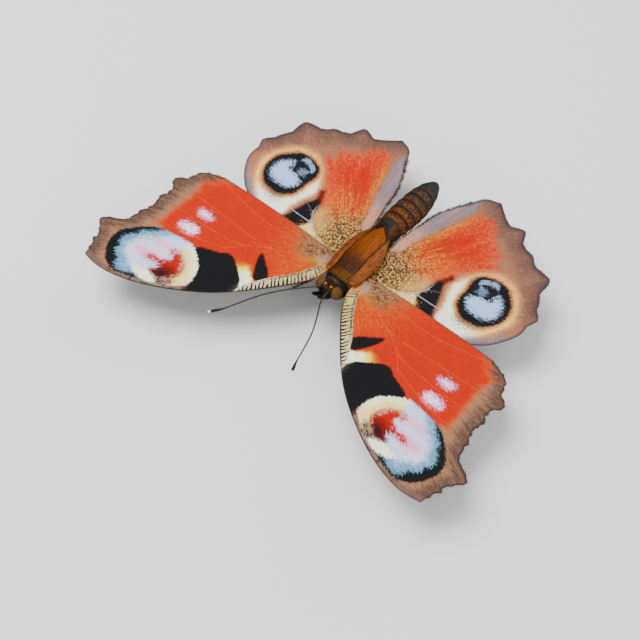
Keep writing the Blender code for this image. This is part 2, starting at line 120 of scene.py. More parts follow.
FOREWING_VEINS = {
    "radial": ((1.6, -1.7), (6.0, -5.9), (9.5, -10.6), (12.5, -13.0), (13.6, -11.6)),
    "subcostal": ((1.6, -1.8), (4.6, -5.9), (8.6, -11.0)),
    "cubital": ((1.6, -1.2), (8.6, -4.0), (11.5, -5.8), (13.0, -7.6)),
    "anal": ((1.6, -0.7), (8.0, -1.4), (14.0, -1.3), (20.2, 0.0)),
    "R1": ((8.0, -8.6), (12.0, -13.6), (14.0, -15.8)),
    "R3": ((15.6, -15.0), (19.0, -17.6), (21.5, -19.0)),
    "R4": ((12.5, -13.0), (18.5, -16.6), (24.7, -19.0)),
    "R5": ((12.5, -13.0), (18.6, -15.3), (25.7, -16.6)),
    "M1": ((13.6, -11.6), (19.5, -13.4), (27.1, -13.95)),
    "M2": ((13.6, -11.6), (18.6, -11.6), (24.7, -11.9)),
    "M3": ((13.0, -7.6), (18.0, -9.1), (24.4, -10.0)),
    "CuA1": ((11.5, -5.8), (13.2, -6.4), (17.0, -6.7), (24.2, -6.9)),
    "CuA2": ((8.6, -4.0), (11.0, -4.3), (16.0, -4.1), (24.8, -3.65)),
}
HINDWING_VEINS = {
    "subcostal": ((1.6, 0.0), (7.5, 0.2), (12.5, 0.3), (18.0, 1.9)),
    "radial": ((1.6, 0.3), (5.4, 0.8), (7.9, 2.2), (8.7, 3.4), (9.1, 5.2)),
    "cubital": ((1.7, 1.9), (6.2, 5.2), (8.8, 8.0), (9.9, 7.6)),
    "anal": ((1.8, 3.2), (3.4, 6.4), (4.9, 10.5), (6.6, 15.4), (7.5, 19.6)),
    "inner": ((1.9, 4.4), (3.0, 8.5), (4.1, 13.0), (4.9, 16.2)),
    "Rs": ((7.9, 2.2), (12.0, 2.3), (16.0, 2.9), (20.4, 5.0)),
    "M1": ((8.7, 3.4), (10.3, 4.15), (15.0, 6.4), (20.9, 8.4)),
    "M2": ((9.9, 7.6), (14.6, 9.5), (19.7, 10.4)),
    "M3": ((9.9, 7.6), (14.2, 11.2), (18.6, 14.0)),
    "CuA1": ((8.8, 8.0), (11.9, 12.2), (15.2, 15.5)),
    "CuA2": ((6.2, 5.2), (9.2, 12.0), (12.3, 18.0)),
}

# Markings: closed outlines through a few points each, on the wing's upper side
FOREWING_MARKS = {
    "costal_patch": (
        (8.1, -11.4), (10.2, -14.3), (13.2, -16.6), (13.4, -14.8), (13.4, -13.6), (14.2, -11.6),
        (15.9, -10.0), (15.4, -9.4), (13.2, -8.5), (12.2, -7.9), (11.2, -8.1), (9.9, -9.0), (8.5, -10.2),
    ),
    "tooth_spot": (
        (6.4, -8.2), (6.9, -8.85), (7.7, -8.8), (8.5, -7.6), (9.4, -5.6), (9.25, -5.25), (8.3, -5.9),
        (7.1, -6.8), (6.5, -7.5),
    ),
    "cream_gap": (
        (6.9, -9.6), (7.7, -10.9), (8.7, -12.4), (9.0, -10.2), (10.0, -9.1), (11.4, -8.3), (10.6, -7.8),
        (9.2, -7.9), (8.0, -8.9),
    ),
    "eyespot": (
        (12.95, -14.7), (14.2, -15.9), (15.6, -17.2), (17.8, -17.7), (20.9, -18.6), (23.0, -17.9),
        (24.5, -15.4), (24.4, -13.9), (22.9, -11.8), (21.2, -10.5), (19.0, -10.0), (16.6, -9.8),
        (15.2, -10.4), (14.0, -11.4), (13.15, -12.7), (12.85, -13.8),
    ),
    "eye_inside": (
        (12.0, -14.5), (14.5, -17.9), (18.1, -17.45), (19.6, -17.9), (20.6, -18.2), (21.4, -17.9),
        (21.8, -17.1), (22.8, -16.3), (23.1, -15.4), (23.5, -14.6), (23.3, -13.8), (22.8, -13.0),
        (22.4, -12.3), (21.7, -11.6), (21.2, -10.9), (20.4, -10.2), (18.6, -8.8), (14.0, -9.0),
        (12.0, -12.0),
    ),
    "eye_centre": (
        (17.0, -12.4), (17.4, -14.4), (18.4, -15.6), (20.2, -16.2), (21.6, -15.4), (21.9, -14.0),
        (21.2, -12.6), (19.6, -11.9), (18.0, -11.8),
    ),
    "red_patch": (
        (14.7, -14.1), (15.2, -15.2), (16.2, -16.1), (17.6, -16.2), (17.9, -15.8), (17.4, -15.1),
        (17.2, -14.6), (18.3, -14.5), (19.5, -14.6), (19.2, -14.2), (18.2, -13.9), (17.2, -13.6),
        (16.8, -13.1), (17.0, -12.5), (17.9, -12.2), (16.8, -11.95), (15.8, -12.3), (15.1, -13.2),
    ),
    "maroon": (
        (15.4, -14.8), (15.6, -15.4), (16.4, -16.0), (17.4, -15.8), (17.2, -15.2), (16.4, -14.7),
        (15.8, -14.5),
    ),
    "cream_side": (
        (12.8, -14.9), (14.2, -16.0), (15.3, -16.0), (14.9, -15.2), (14.5, -14.0), (14.8, -12.9),
        (15.6, -12.1), (16.6, -11.6), (17.0, -10.8), (16.6, -9.8), (15.2, -10.1), (13.8, -11.2),
        (12.7, -13.0),
    ),
    "cream_bar": (
        (16.0, -16.75), (17.0, -17.3), (18.4, -17.4), (19.5, -17.0), (19.6, -16.5), (18.3, -16.1),
        (16.9, -16.25),
    ),
    "pink_streak": ((17.6, -14.1), (18.8, -14.6), (20.3, -14.7), (21.4, -14.2), (20.2, -13.9), (18.6, -13.7)),
    "lower_streak": (
        (16.9, -12.4), (18.0, -12.3), (19.6, -12.4), (20.4, -12.0), (19.0, -11.7), (17.4, -11.7),
    ),
    "upper_spot": (
        (17.2, -8.0), (17.45, -8.6), (18.2, -8.9), (19.3, -8.8), (19.8, -8.25), (19.5, -7.75),
        (18.4, -7.5), (17.5, -7.6),
    ),
    "lower_spot": (
        (17.2, -5.4), (17.7, -5.8), (18.6, -5.95), (19.3, -5.55), (19.4, -5.2), (18.8, -4.95),
        (17.9, -4.95),
    ),
}
HINDWING_MARKS = {
    "ring": (
        (14.2, 3.05), (15.2, 3.0), (16.2, 3.2), (17.2, 3.9), (17.8, 4.8), (18.1, 5.8), (18.05, 7.0),
        (17.7, 8.0), (17.0, 8.9), (16.0, 9.7), (14.8, 10.0), (13.6, 9.8), (12.6, 9.2), (12.1, 8.3),
        (12.1, 7.4), (12.3, 6.4), (12.3, 5.2), (12.55, 4.2), (13.2, 3.5),
    ),
    "blue": (
        (13.1, 4.75), (13.8, 4.2), (15.2, 3.95), (16.3, 4.1), (17.1, 4.7), (17.5, 5.6), (17.5, 6.6),
        (17.1, 7.5), (16.5, 8.1), (15.6, 8.6), (14.6, 8.3), (13.6, 7.9), (13.3, 6.9), (12.8, 6.2),
        (12.85, 5.4),
    ),
    "smudge": (
        (13.0, 6.5), (14.2, 6.7), (15.2, 6.8), (15.6, 7.6), (15.0, 8.6), (13.8, 8.5), (12.8, 7.9),
        (12.5, 7.1),
    ),
    "grey_spot": ((13.35, 7.3), (13.8, 6.9), (14.3, 7.2), (14.4, 7.7), (13.8, 8.0), (13.4, 7.8)),
    "crescent": (
        (12.8, 8.35), (13.1, 8.15), (13.8, 8.6), (14.6, 8.9), (15.2, 8.95), (15.1, 9.3), (14.5, 9.65),
        (13.7, 9.4), (12.9, 8.9),
    ),
    "cream_ring": (
        (12.2, 0.2), (15.6, 0.2), (17.6, 2.0), (18.9, 4.0), (19.5, 6.4), (18.9, 8.4), (17.4, 10.2),
        (15.6, 11.2), (13.6, 11.0), (12.0, 9.8), (10.9, 8.2), (10.2, 6.8), (10.1, 5.6), (10.6, 4.2),
        (11.1, 2.6), (11.5, 0.9),
    ),
    "front_smudge": (
        (13.4, 2.9), (13.8, 2.2), (14.7, 2.2), (15.7, 2.7), (17.0, 3.3), (16.0, 3.6), (14.0, 3.4),
    ),
    "black_patch": (
        (9.4, 0.0), (11.6, 0.2), (11.1, 1.5), (10.9, 2.3), (10.6, 3.2), (10.3, 4.2), (9.9, 4.9), (9.5, 5.5),
        (9.1, 5.2), (8.75, 4.4), (8.6, 3.3), (8.3, 2.3), (8.7, 1.4), (9.2, 0.7),
    ),
    "red_tail": ((8.9, 4.8), (9.6, 4.9), (9.9, 5.8), (10.2, 6.7), (9.9, 7.0), (9.4, 6.2)),
    "cream_root": (
        (3.0, -0.2), (6.0, -0.6), (9.2, -0.4), (9.1, 0.9), (8.5, 1.6), (8.0, 2.15), (7.4, 1.9), (6.4, 1.2),
        (5.0, 0.8), (3.6, 0.7),
    ),
    "cream_side": ((6.6, 1.6), (7.9, 2.4), (8.5, 3.3), (8.6, 4.2), (8.0, 4.6), (7.0, 3.8), (6.2, 2.6)),
    "field": (
        (6.2, 4.4), (7.6, 4.4), (8.9, 4.9), (9.8, 6.6), (11.2, 8.5), (12.6, 9.8), (13.5, 10.8), (13.2, 11.5),
        (12.3, 12.0), (12.4, 13.1), (11.0, 14.1), (10.2, 15.0), (9.6, 16.2), (8.2, 16.9), (6.8, 16.4),
        (5.6, 13.6), (4.4, 10.2), (3.2, 7.2), (3.6, 5.0),
    ),
    "red_streak": ((4.8, 5.4), (5.4, 7.4), (6.4, 9.4), (8.6, 12.4), (8.2, 13.2), (6.0, 10.4), (5.0, 7.8)),
    "inner_band": (
        (0.5, 5.0), (2.6, 5.2), (3.3, 7.0), (3.9, 9.0), (4.6, 11.5), (5.4, 14.2), (6.0, 16.4), (5.6, 18.2),
        (3.0, 16.0), (1.0, 10.0),
    ),
}
MARK_RANGE = 3.0

# Scales: the points that their rows go round, their size, and the finer streaks along the wing
FOREWING_HUB = (1.0, -0.8)
HINDWING_HUB = (1.2, 0.6)
SCALE_WIDTH = 0.085
SCALE_LENGTH = 0.13
STREAK_WIDTH = 0.11
STREAK_LENGTH = 0.42
BAND = 2.0
WING_SPAN = 30.0

# Small waves of the forewing's outer edge: height, length and shift of each
FOREWING_WAVES = ((0.07, 1.15, 0.4), (0.05, 0.66, 1.7))

# Hair of the wings: the strip that a fringe grows from, and how far out the root's hair reaches
FRINGE_BED = 0.2
ROOT_HAIR = 6.0

# Coats: tufts on a square millimetre, their length and width, and how much they lift and bend
ROOT_COAT = (26, 0.7, 0.02, 0.16, 0.1)
FRINGE_COAT = (95, 0.6, 0.055, 0.02, 0.08)
HEAD_COAT = (320, 0.26, 0.022, 0.3, 0.3)
THORAX_COAT = (230, 0.62, 0.03, 0.3, 0.2)
BREAST_COAT = (110, 0.8, 0.035, 0.35, 0.25)
ABDOMEN_COAT = (150, 0.36, 0.032, 0.14, 0.2)
TEGULA_COAT = (160, 0.6, 0.034, 0.16, 0.15)
PALP_COAT = (200, 0.3, 0.03, 0.35, 0.15)
FORELEG_COAT = (120, 0.4, 0.028, 0.4, 0.2)
LEG_COAT = (90, 0.32, 0.024, 0.3, 0.1)

# How far a tuft strays from the way that hair lies, and how wide its patch on the unwrap is
ASTRAY = 0.16
PATCH_SIZE = 0.003

# How long the hair of the shoulders is at places along the body, as a share of its full length
SHOULDER_HAIR = ((-3.2, -2.4, -1.2, -0.6, 2.0, 6.0), (0.5, 0.8, 0.9, 0.6, 0.8, 1.0))

# Body: along it, the height of its middle, its half width and its half height, over the coat
BODY = (
    (-5.22, -0.05, 0.12, 0.12),
    (-5.14, -0.05, 0.42, 0.4),
    (-4.9, -0.02, 0.72, 0.68),
    (-4.4, 0.02, 0.95, 0.95),
    (-3.8, 0.0, 1.05, 0.97),
    (-3.3, -0.05, 1.12, 0.98),
    (-2.85, -0.12, 1.4, 1.15),
    (-2.1, -0.3, 1.72, 1.42),
    (-1.0, -0.45, 1.88, 1.58),
    (0.5, -0.4, 2.0, 1.94),
    (2.2, -0.4, 2.05, 2.1),
    (4.0, -0.2, 1.86, 1.86),
    (5.4, 0.1, 1.56, 1.56),
    (6.3, 0.35, 1.4, 1.36),
    (7.4, 0.45, 1.56, 1.51),
    (9.0, 0.35, 1.68, 1.61),
    (10.8, 0.15, 1.76, 1.71),
    (13.0, 0.1, 1.68, 1.64),
    (14.7, 0.2, 1.37, 1.34),
    (16.0, 0.25, 0.88, 0.88),
    (16.7, 0.25, 0.45, 0.45),
    (16.9, 0.25, 0.1, 0.1),
)
SKIN_SIDES = 96
SKIN_STEP = 0.11

# The abdomen's rings and the groove behind each, and the pad on the thorax with its rear tip
ABDOMEN = (6.2, 16.9)
ABDOMEN_RINGS = 8
RING_RISE = 0.05
GROOVE_SHARE = 0.12
PAD = (-0.9, 6.1)
PAD_DEG = 42
PAD_RISE = 0.12
PAD_TAPER = 2.4
PAD_TIP = 0.08

# The flaps over the wing roots: their ends along the body, their angles off its top, how far they
# stand out, the waves of their outer edge, and their width at shares of their length
TEGULA = (-2.2, 4.8)
TEGULA_INNER_DEG = 41
TEGULA_OUTER_DEG = 77
TEGULA_DRIFT_DEG = 8
TEGULA_GAP = 0.28
TEGULA_DEPTH = 0.48
TEGULA_WAVES = 14
TEGULA_WAVE_DEG = 2.2
TEGULA_ROWS = 70
TEGULA_SIDES = 28
TEGULA_WIDTH = ((0.0, 0.04, 0.15, 0.55, 0.82, 1.0), (0.3, 0.72, 0.95, 1.0, 0.7, 0.06))

# Head pieces: eyes and dots by middle and half size, the rest as places with the radius there
EYE_MIDDLE = (0.98, -3.99, 0.0)
EYE_HALF = (0.9, 0.78, 0.89)
HEAD_DOT = (0.41, -4.2, 0.94)
HEAD_DOT_HALF = (0.16, 0.17, 0.12)
PALP = (
    (0.34, -4.7, -0.2, 0.16),
    (0.38, -5.2, 0.05, 0.2),
    (0.4, -5.7, 0.45, 0.2),
    (0.42, -6.2, 1.0, 0.15),
    (0.43, -6.6, 1.5, 0.05),
)
ANTENNA = (
    (0.5, -4.7, 0.7, 0.13),
    (0.6, -5.1, 1.0, 0.13),
    (0.72, -5.4, 1.25, 0.095),
    (1.46, -7.4, 2.4, 0.09),
    (2.6, -9.4, 2.95, 0.09),
    (3.84, -11.8, 3.4, 0.09),
    (4.75, -14.4, 3.85, 0.09),
    (5.3, -16.15, 4.18, 0.095),
    (5.5, -16.7, 4.3, 0.13),
    (5.75, -17.25, 4.48, 0.185),
    (5.95, -17.75, 4.66, 0.175),
    (6.08, -18.06, 4.78, 0.11),
    (6.12, -18.18, 4.82, 0.03),
)
ANTENNA_SIDES = 14
ANTENNA_RING = 0.4
ANTENNA_RISE = 0.1
ANTENNA_RINGED = (1.0, 12.4)
ANTENNA_TIP = 0.34
TONGUE_MIDDLE = (0, -3.95, -1.7)
TONGUE_RADIUS = 0.43
TONGUE_TURNS = 3.2
TONGUE_THICKNESS = 0.055
TONGUE_WIND = 0.2852
TONGUE_START = 1.2
TONGUE_TAPER = 0.55

# Legs: places from the hip to the claw, for the forelegs with the radius there
FORELEG = (
    (0.7, -1.1, -1.6, 0.2), (0.8, -1.9, -2.45, 0.2), (0.82, -2.8, -2.15, 0.18), (0.76, -3.5, -1.7, 0.1),
    (0.74, -3.6, -1.62, 0.03),
)
MIDLEG = ((1.0, 0.3, -1.9), (1.8, 0.3, -2.95), (4.4, -0.2, -2.5), (5.2, -0.6, None), (6.2, -3.4, None))
HINDLEG = ((0.9, 2.7, -1.9), (1.7, 2.9, -2.95), (4.2, 4.6, -2.5), (5.2, 7.2, None), (5.9, 10.2, None))
TARSUS_RADIUS = 0.13

# Each length of a walking leg: how far along it a section lies, and its radius
COXA = ((0, 0.22), (0.4, 0.3), (0.95, 0.24), (1.08, 0.1))
FEMUR = ((-0.06, 0.1), (0.02, 0.2), (0.4, 0.31), (0.85, 0.2), (1.0, 0.17), (1.04, 0.06))
TIBIA = ((-0.05, 0.06), (0.0, 0.13), (0.12, 0.17), (0.6, 0.17), (0.95, 0.17), (1.0, 0.09))
TARSUS = ((0, 0.05), (0.12, 0.085), (0.8, TARSUS_RADIUS), (0.98, 0.1), (1.02, 0.03))
FOOT_SHARES = (0, 0.38, 0.58, 0.73, 0.85, 0.97)

# Claws and spurs: the way out along the leg, sideways and up, and the radius there
CLAW = ((0, 0.03, 0, 0.05), (0.14, 0.1, 0.02, 0.035), (0.26, 0.16, -0.05, 0.022), (0.3, 0.17, -0.1, 0.008))
SPUR = ((0, 0.12, 0, 0.045), (0.2, 0.18, -0.01, 0.03), (0.4, 0.24, -0.02, 0.006))
LEG_PIECES = 12

# Stage, in metres: each light's place, size and power, and the light from all sides
FLOOR_SIZE = 2
FLOOR_COLOUR = (0.9, 0.9, 0.9, 1)
LIGHTS = (
    ("key", (-0.12, -0.05, 0.32), 0.22, 1.7),
    ("fill", (0.28, -0.2, 0.2), 0.3, 0.7),
    ("back", (0.05, 0.3, 0.2), 0.25, 0.55),
)
WORLD_LIGHT = 0.42


def smooth_curve(points, step, closed=False):
    """Points a step apart on a curve through the given ones, of any number of dimensions."""
    knots = [np.array(point, float) for point in points]
    if closed:
        knots = [knots[-1]] + knots + knots[:2]
    else:
        knots = [2 * knots[0] - knots[1]] + knots + [2 * knots[-1] - knots[-2]]
    curve = []
    for before, start, end, after in zip(knots, knots[1:], knots[2:], knots[3:]):
        spans = (start - before, end - start, after - end)
        gaps = [max(np.linalg.norm(span), 1e-6) ** 0.5 for span in spans]
        leave = (start - before) / gaps[0] - (end - before) / (gaps[0] + gaps[1]) + (end - start) / gaps[1]
        reach = (end - start) / gaps[1] - (after - start) / (gaps[1] + gaps[2]) + (after - end) / gaps[2]
        leave, reach = leave * gaps[1], reach * gaps[1]
        count = max(1, round(float(np.linalg.norm(end - start)) / step))
        for t in np.arange(count) / count:
            curve.append(
                (2 * t**3 - 3 * t**2 + 1) * start
                + (t**3 - 2 * t**2 + t) * leave
                + (3 * t**2 - 2 * t**3) * end
                + (t**3 - t**2) * reach
            )
    return np.array(curve if closed else curve + [knots[-2]])


def ease(share):
    """0 below 0 and 1 above 1, smoothly."""
    share = np.clip(share, 0, 1)
    return share * share * (3 - 2 * share)


def distance_to(points, line):
    """How far each point is from a line, and how far along the line its nearest place is."""
    best = np.full(len(points), np.inf)
    along = np.zeros(len(points))
    run = 0.0
    for start, end in zip(line[:-1], line[1:]):
        span = end - start
        length = float(np.hypot(*span))
        share = np.clip(((points - start) @ span) / max(length * length, 1e-12), 0, 1)
        gap = np.hypot(*(points - start - share[:, None] * span).T)
        closer = gap < best
        best = np.where(closer, gap, best)
        along = np.where(closer, run + share * length, along)
        run += length
    return best, along


def inside(points, outline):
    """Which points lie inside a closed outline."""
    within = np.zeros(len(points), bool)
    for start, end in zip(outline, np.roll(outline, -1, axis=0)):
        spans = (start[1] > points[:, 1]) != (end[1] > points[:, 1])
        if abs(end[1] - start[1]) < 1e-12:
            continue
        crossing = start[0] + (end[0] - start[0]) * (points[:, 1] - start[1]) / (end[1] - start[1])
        within ^= spans & (points[:, 0] < crossing)
    return within


def tooth_shape(distance):
    """Height of a tooth, from 1 at its tip to 0 at distance 1: a cone with a rounded tip."""
    top = math.hypot(1, TOOTH_ROUNDING)
    height = (top - np.hypot(distance, TOOTH_ROUNDING)) / (top - TOOTH_ROUNDING)
    return np.clip(height, 0, None)


def toothed(stretches, teeth, waves):
    """A wing's outer edge as one fine curve with its teeth, and where on it each stretch ends."""
    curve, ends = np.empty((0, 2)), []
    for stretch in stretches:
        part = smooth_curve(stretch, CURVE_STEP)
        curve = np.vstack([curve[:-1], part]) if len(curve) else part
        ends.append(len(curve) - 1)
    along = lengths_along(curve)
    shift = np.zeros_like(curve)
    for tip, half_width in teeth:
        root = int(np.argmin(np.hypot(*(curve - tip).T)))
        share = tooth_shape(np.abs(along - along[root]) / half_width)
        shift += share[:, None] * (np.array(tip) - curve[root])
    bend = np.gradient(curve, axis=0)
    across = bend[:, ::-1] * (1, -1) / np.hypot(*bend.T)[:, None]
    outer = ease(along - along[ends[0]]) * ease(along[ends[1]] - along)
    wave = sum(size * np.sin(2 * math.pi * along / length + turn) for size, length, turn in waves)
    return curve + shift + (outer * wave)[:, None] * across, ends


def resampled(line, step):
    """A flat line with its points an even step apart."""
    along = lengths_along(line)
    count = max(2, round(float(along[-1]) / step))
    wanted = np.linspace(0, along[-1], count + 1)
    return np.stack([np.interp(wanted, along, line[:, axis]) for axis in range(2)], axis=1)


def lengths_along(line):
    """How far along a line each of its points is."""
    return np.concatenate([[0], np.cumsum(np.linalg.norm(np.diff(line, axis=0), axis=1))])


def to_frame(points, side=1):
    """Points in millimetres from the wing plane as places in the frame, in metres."""
    places = np.array(points, float) * (side, 1, 1)
    return (places + (0, MIDDLE_Y, WING_HEIGHT)) * MM


def new_mesh_object(name, points, faces, side=1):
    """An object from points in millimetres and faces, its normals turned outwards for either side."""
    mesh = bpy.data.meshes.new(name)
    faces = [tuple(face) for face in faces]
    if side < 0:
        faces = [face[::-1] for face in faces]
    mesh.from_pydata([tuple(point) for point in to_frame(points, side)], [], faces)
    mesh.validate()
    mesh.shade_smooth()
    return linked_object(name, mesh)


def linked_object(name, data):
    """A new object of the scene that shows a mesh, a camera or a light."""
    made = bpy.data.objects.new(name, data)
    bpy.context.scene.collection.objects.link(made)
    return made


def add_values(mesh, name, values):
    """A number for each point of a mesh, for its materials to read."""
    mesh.attributes.new(name, "FLOAT", "POINT").data.foreach_set("value", np.asarray(values, np.float32))


def add_lie(mesh, lie):
    """The way that hair lies at each point of a mesh."""
    if "lie" not in mesh.attributes:
        mesh.attributes.new("lie", "FLOAT_VECTOR", "POINT")
    mesh.attributes["lie"].data.foreach_set("vector", lie.astype(np.float32).ravel())


class Wing:
    """One wing's flat outline, veins and markings, and the mesh made from them."""

    def __init__(self, stretches, root, teeth, veins, marks, height, waves=()):
        self.edge, ends = toothed(stretches, teeth, waves)
        self.costa = self.edge[: ends[0] + 1]
        self.termen = self.edge[ends[0] : ends[1] + 1]
        self.dorsum = self.edge[ends[1] :]
        self.root = smooth_curve(root, CURVE_STEP)
        self.height = height
        self.veins = {
            name: resampled(smooth_curve(points, CURVE_STEP), VEIN_STEP)
            for name, points in veins.items()
        }
        self.marks = {
            name: smooth_curve(points, MARK_STEP, closed=True)
            for name, points in marks.items()
        }
        lines = [resampled(line, EDGE_STEP)[:-1] for line in (self.edge, self.root)]
        self.outline = np.vstack(lines)
        self.divide()
        self.measure()

    def divide(self):
        """Flat points and triangles: the outline, the veins and an even field between them."""
        rim = np.vstack([self.outline, self.outline[:1]])
        points, edges = [tuple(point) for point in self.outline], []
        flanks = []
        for line in self.veins.values():
            first = len(points)
            points += [tuple(point) for point in line]
            edges += [(place, place + 1) for place in range(first, len(points) - 1)]
            across = np.diff(line, axis=0)[:, ::-1] * (1, -1)
            across /= np.hypot(*across.T)[:, None]
            middles = (line[1:] + line[:-1]) / 2
            flanks += [middles + VEIN_WIDTH * across, middles - VEIN_WIDTH * across]
        low, high = self.outline.min(axis=0), self.outline.max(axis=0)
        rows = np.arange(low[1], high[1], FIELD_STEP * math.sqrt(3) / 2)
        field = []
        for number, row in enumerate(rows):
            columns = np.arange(low[0], high[0], FIELD_STEP) + FIELD_STEP / 2 * (number % 2)
            field += [(column, row) for column in columns]
        field = np.array(field)
        lines = [rim] + list(self.veins.values())
        nearest = np.min([distance_to(field, line)[0] for line in lines], axis=0)
        field = field[inside(field, self.outline) & (nearest > FIELD_CLEARANCE)]
        for group in flanks:
            gaps = [distance_to(group, line)[0] for line in lines]
            clear = np.sort(np.array(gaps), axis=0)[1] > VEIN_CLEARANCE
            group = group[inside(group, self.outline) & clear & (gaps[0] > VEIN_WIDTH)]
            points += [tuple(point) for point in group]
            if len(group):
                gaps = np.hypot(*(field[:, None] - group[None]).transpose(2, 0, 1))
                field = field[gaps.min(axis=1) > VEIN_WIDTH]
        points += [tuple(point) for point in field]
        flat, _, faces, _, _, _ = delaunay_2d_cdt(
            [Vector(point) for point in points], edges, [list(range(len(self.outline)))], 1, 1e-4
        )
        self.flat = np.array([tuple(point) for point in flat])
        self.faces = np.array(faces)
        corners = self.flat[self.faces]
        one, two = corners[:, 1] - corners[:, 0], corners[:, 2] - corners[:, 0]
        turned = one[:, 0] * two[:, 1] - one[:, 1] * two[:, 0] < 0
        self.faces[turned] = self.faces[turned][:, ::-1]

    def measure(self):
        """What the materials read at each point: distances from edges, veins and markings."""
        edges = {"rim": self.edge, "termen": self.termen, "dorsum": self.dorsum}
        self.values = {name: distance_to(self.flat, line)[0] for name, line in edges.items()}
        self.values["costa"], self.values["costa_along"] = distance_to(self.flat, self.costa)
        veins = np.array([distance_to(self.flat, line)[0] for line in self.veins.values()])
        self.values["vein"] = veins.min(axis=0)
        for name, outline in self.marks.items():
            gap = distance_to(self.flat, np.vstack([outline, outline[:1]]))[0]
            gap = np.where(inside(self.flat, outline), gap, -gap)
            self.values[name] = np.clip(gap, -MARK_RANGE, MARK_RANGE)

    def build(self, name, side, materials):
        """The wing as one closed sheet: its upper side, its under side and a thin edge."""
        x, y = self.flat.T
        ridge = VEIN_RISE * np.exp(-((self.values["vein"] / VEIN_WIDTH) ** 2))
        ridge *= ease(self.values["rim"] / RIDGE_END)
        pleat = PLEAT * ease(self.values["vein"] / 1.2) * ease(self.values["rim"] / 1.5)
        middle = self.height(x, y) - pleat
        half = (EDGE_THICKNESS + (MEMBRANE - EDGE_THICKNESS) * ease(self.values["rim"])) / 2
        top = np.column_stack([self.flat, middle + half + ridge])
        bottom = np.column_stack([self.flat, middle - half - UNDER_RIDGE * ridge])
        count = len(self.flat)
        faces = [tuple(face) for face in self.faces] + [tuple(face[::-1] + count) for face in self.faces]
        sides = {}
        for face in self.faces:
            sides.update(dict.fromkeys(zip(face, np.roll(face, -1))))
        rim = [
            (end, start, start + count, end + count)
            for start, end in sides
            if (end, start) not in sides
        ]
        made = new_mesh_object(name, np.vstack([top, bottom]), faces + rim, side)
        for material in materials:
            made.data.materials.append(material)
        shown = np.zeros(len(faces) + len(rim), np.int32)
        shown[len(self.faces) : 2 * len(self.faces)] = 1
        made.data.polygons.foreach_set("material_index", shown)
        for key, values in self.values.items():
            add_values(made.data, key, np.tile(values, 2))
        unwrap = made.data.uv_layers.new(name="unwrap")
        corners = np.empty(len(made.data.loops), np.int32)
        made.data.loops.foreach_get("vertex_index", corners)
        spread = np.vstack([self.flat, self.flat])[corners] / WING_SPAN * (0.5, 0.5) + (0.0, 0.5)
        spread[:, 0] += 0.5 * (corners >= count)
        unwrap.uv.foreach_set("vector", spread.astype(np.float32).ravel())
        return made

    def outward(self):
        """The way out of the wing over its nearest edge, for the points close to it."""
        ways = np.zeros((len(self.flat), 2))
        near = np.flatnonzero(self.values["rim"] < FRINGE_BED)
        along = np.gradient(self.edge, axis=0)
        along /= np.maximum(np.hypot(*along.T), 1e-9)[:, None]
        for group in np.array_split(near, 8):
            gaps = np.hypot(*(self.flat[group][:, None] - self.edge[None]).transpose(2, 0, 1))
            ways[group] = along[gaps.argmin(axis=1)] @ ((0, 1), (-1, 0))
        return ways * self.turning()

    def turning(self):
        """1 if the outline runs so that the way out is on the right of it, or else -1."""
        x, y = self.outline.T
        return 1 if np.sum(x * np.roll(y, -1) - y * np.roll(x, -1)) < 0 else -1


def forewing_height(x, y):
    """Nearly level, with a faint swell of its middle."""
    return FOREWING_BOW * np.sin(x / 5.0) * ease((x - 3) / 6)


def hindwing_height(x, y):
    """Below the forewing where they overlap, level behind it and rising to the inner edge."""
    drop = OVERLAP_DROP * (1 - ease((y - OVERLAP_EDGE) / OVERLAP_RISE))
    inward = (INNER_RISE_X[0] - x) / INNER_RISE_X[1]
    backward = (y - INNER_RISE_Y[0]) / INNER_RISE_Y[1]
    return INNER_RISE * ease(inward) * ease(backward) - drop


class Number:
    """A socket that carries a number: maths on it adds nodes."""

    def __init__(self, maker, socket):
        self.maker, self.socket = maker, socket

    def __add__(self, other):
        return self.maker.math("ADD", self, other)

    def __sub__(self, other):
        return self.maker.math("SUBTRACT", self, other)

    def __mul__(self, other):
        return self.maker.math("MULTIPLY", self, other)

    def __truediv__(self, other):
        return self.maker.math("DIVIDE", self, other)

    def __rsub__(self, other):
        return self.maker.math("SUBTRACT", other, self)

    def __rtruediv__(self, other):
        return self.maker.math("DIVIDE", other, self)

    def __abs__(self):
        return self.maker.math("ABSOLUTE", self)

    __radd__ = __add__
    __rmul__ = __mul__


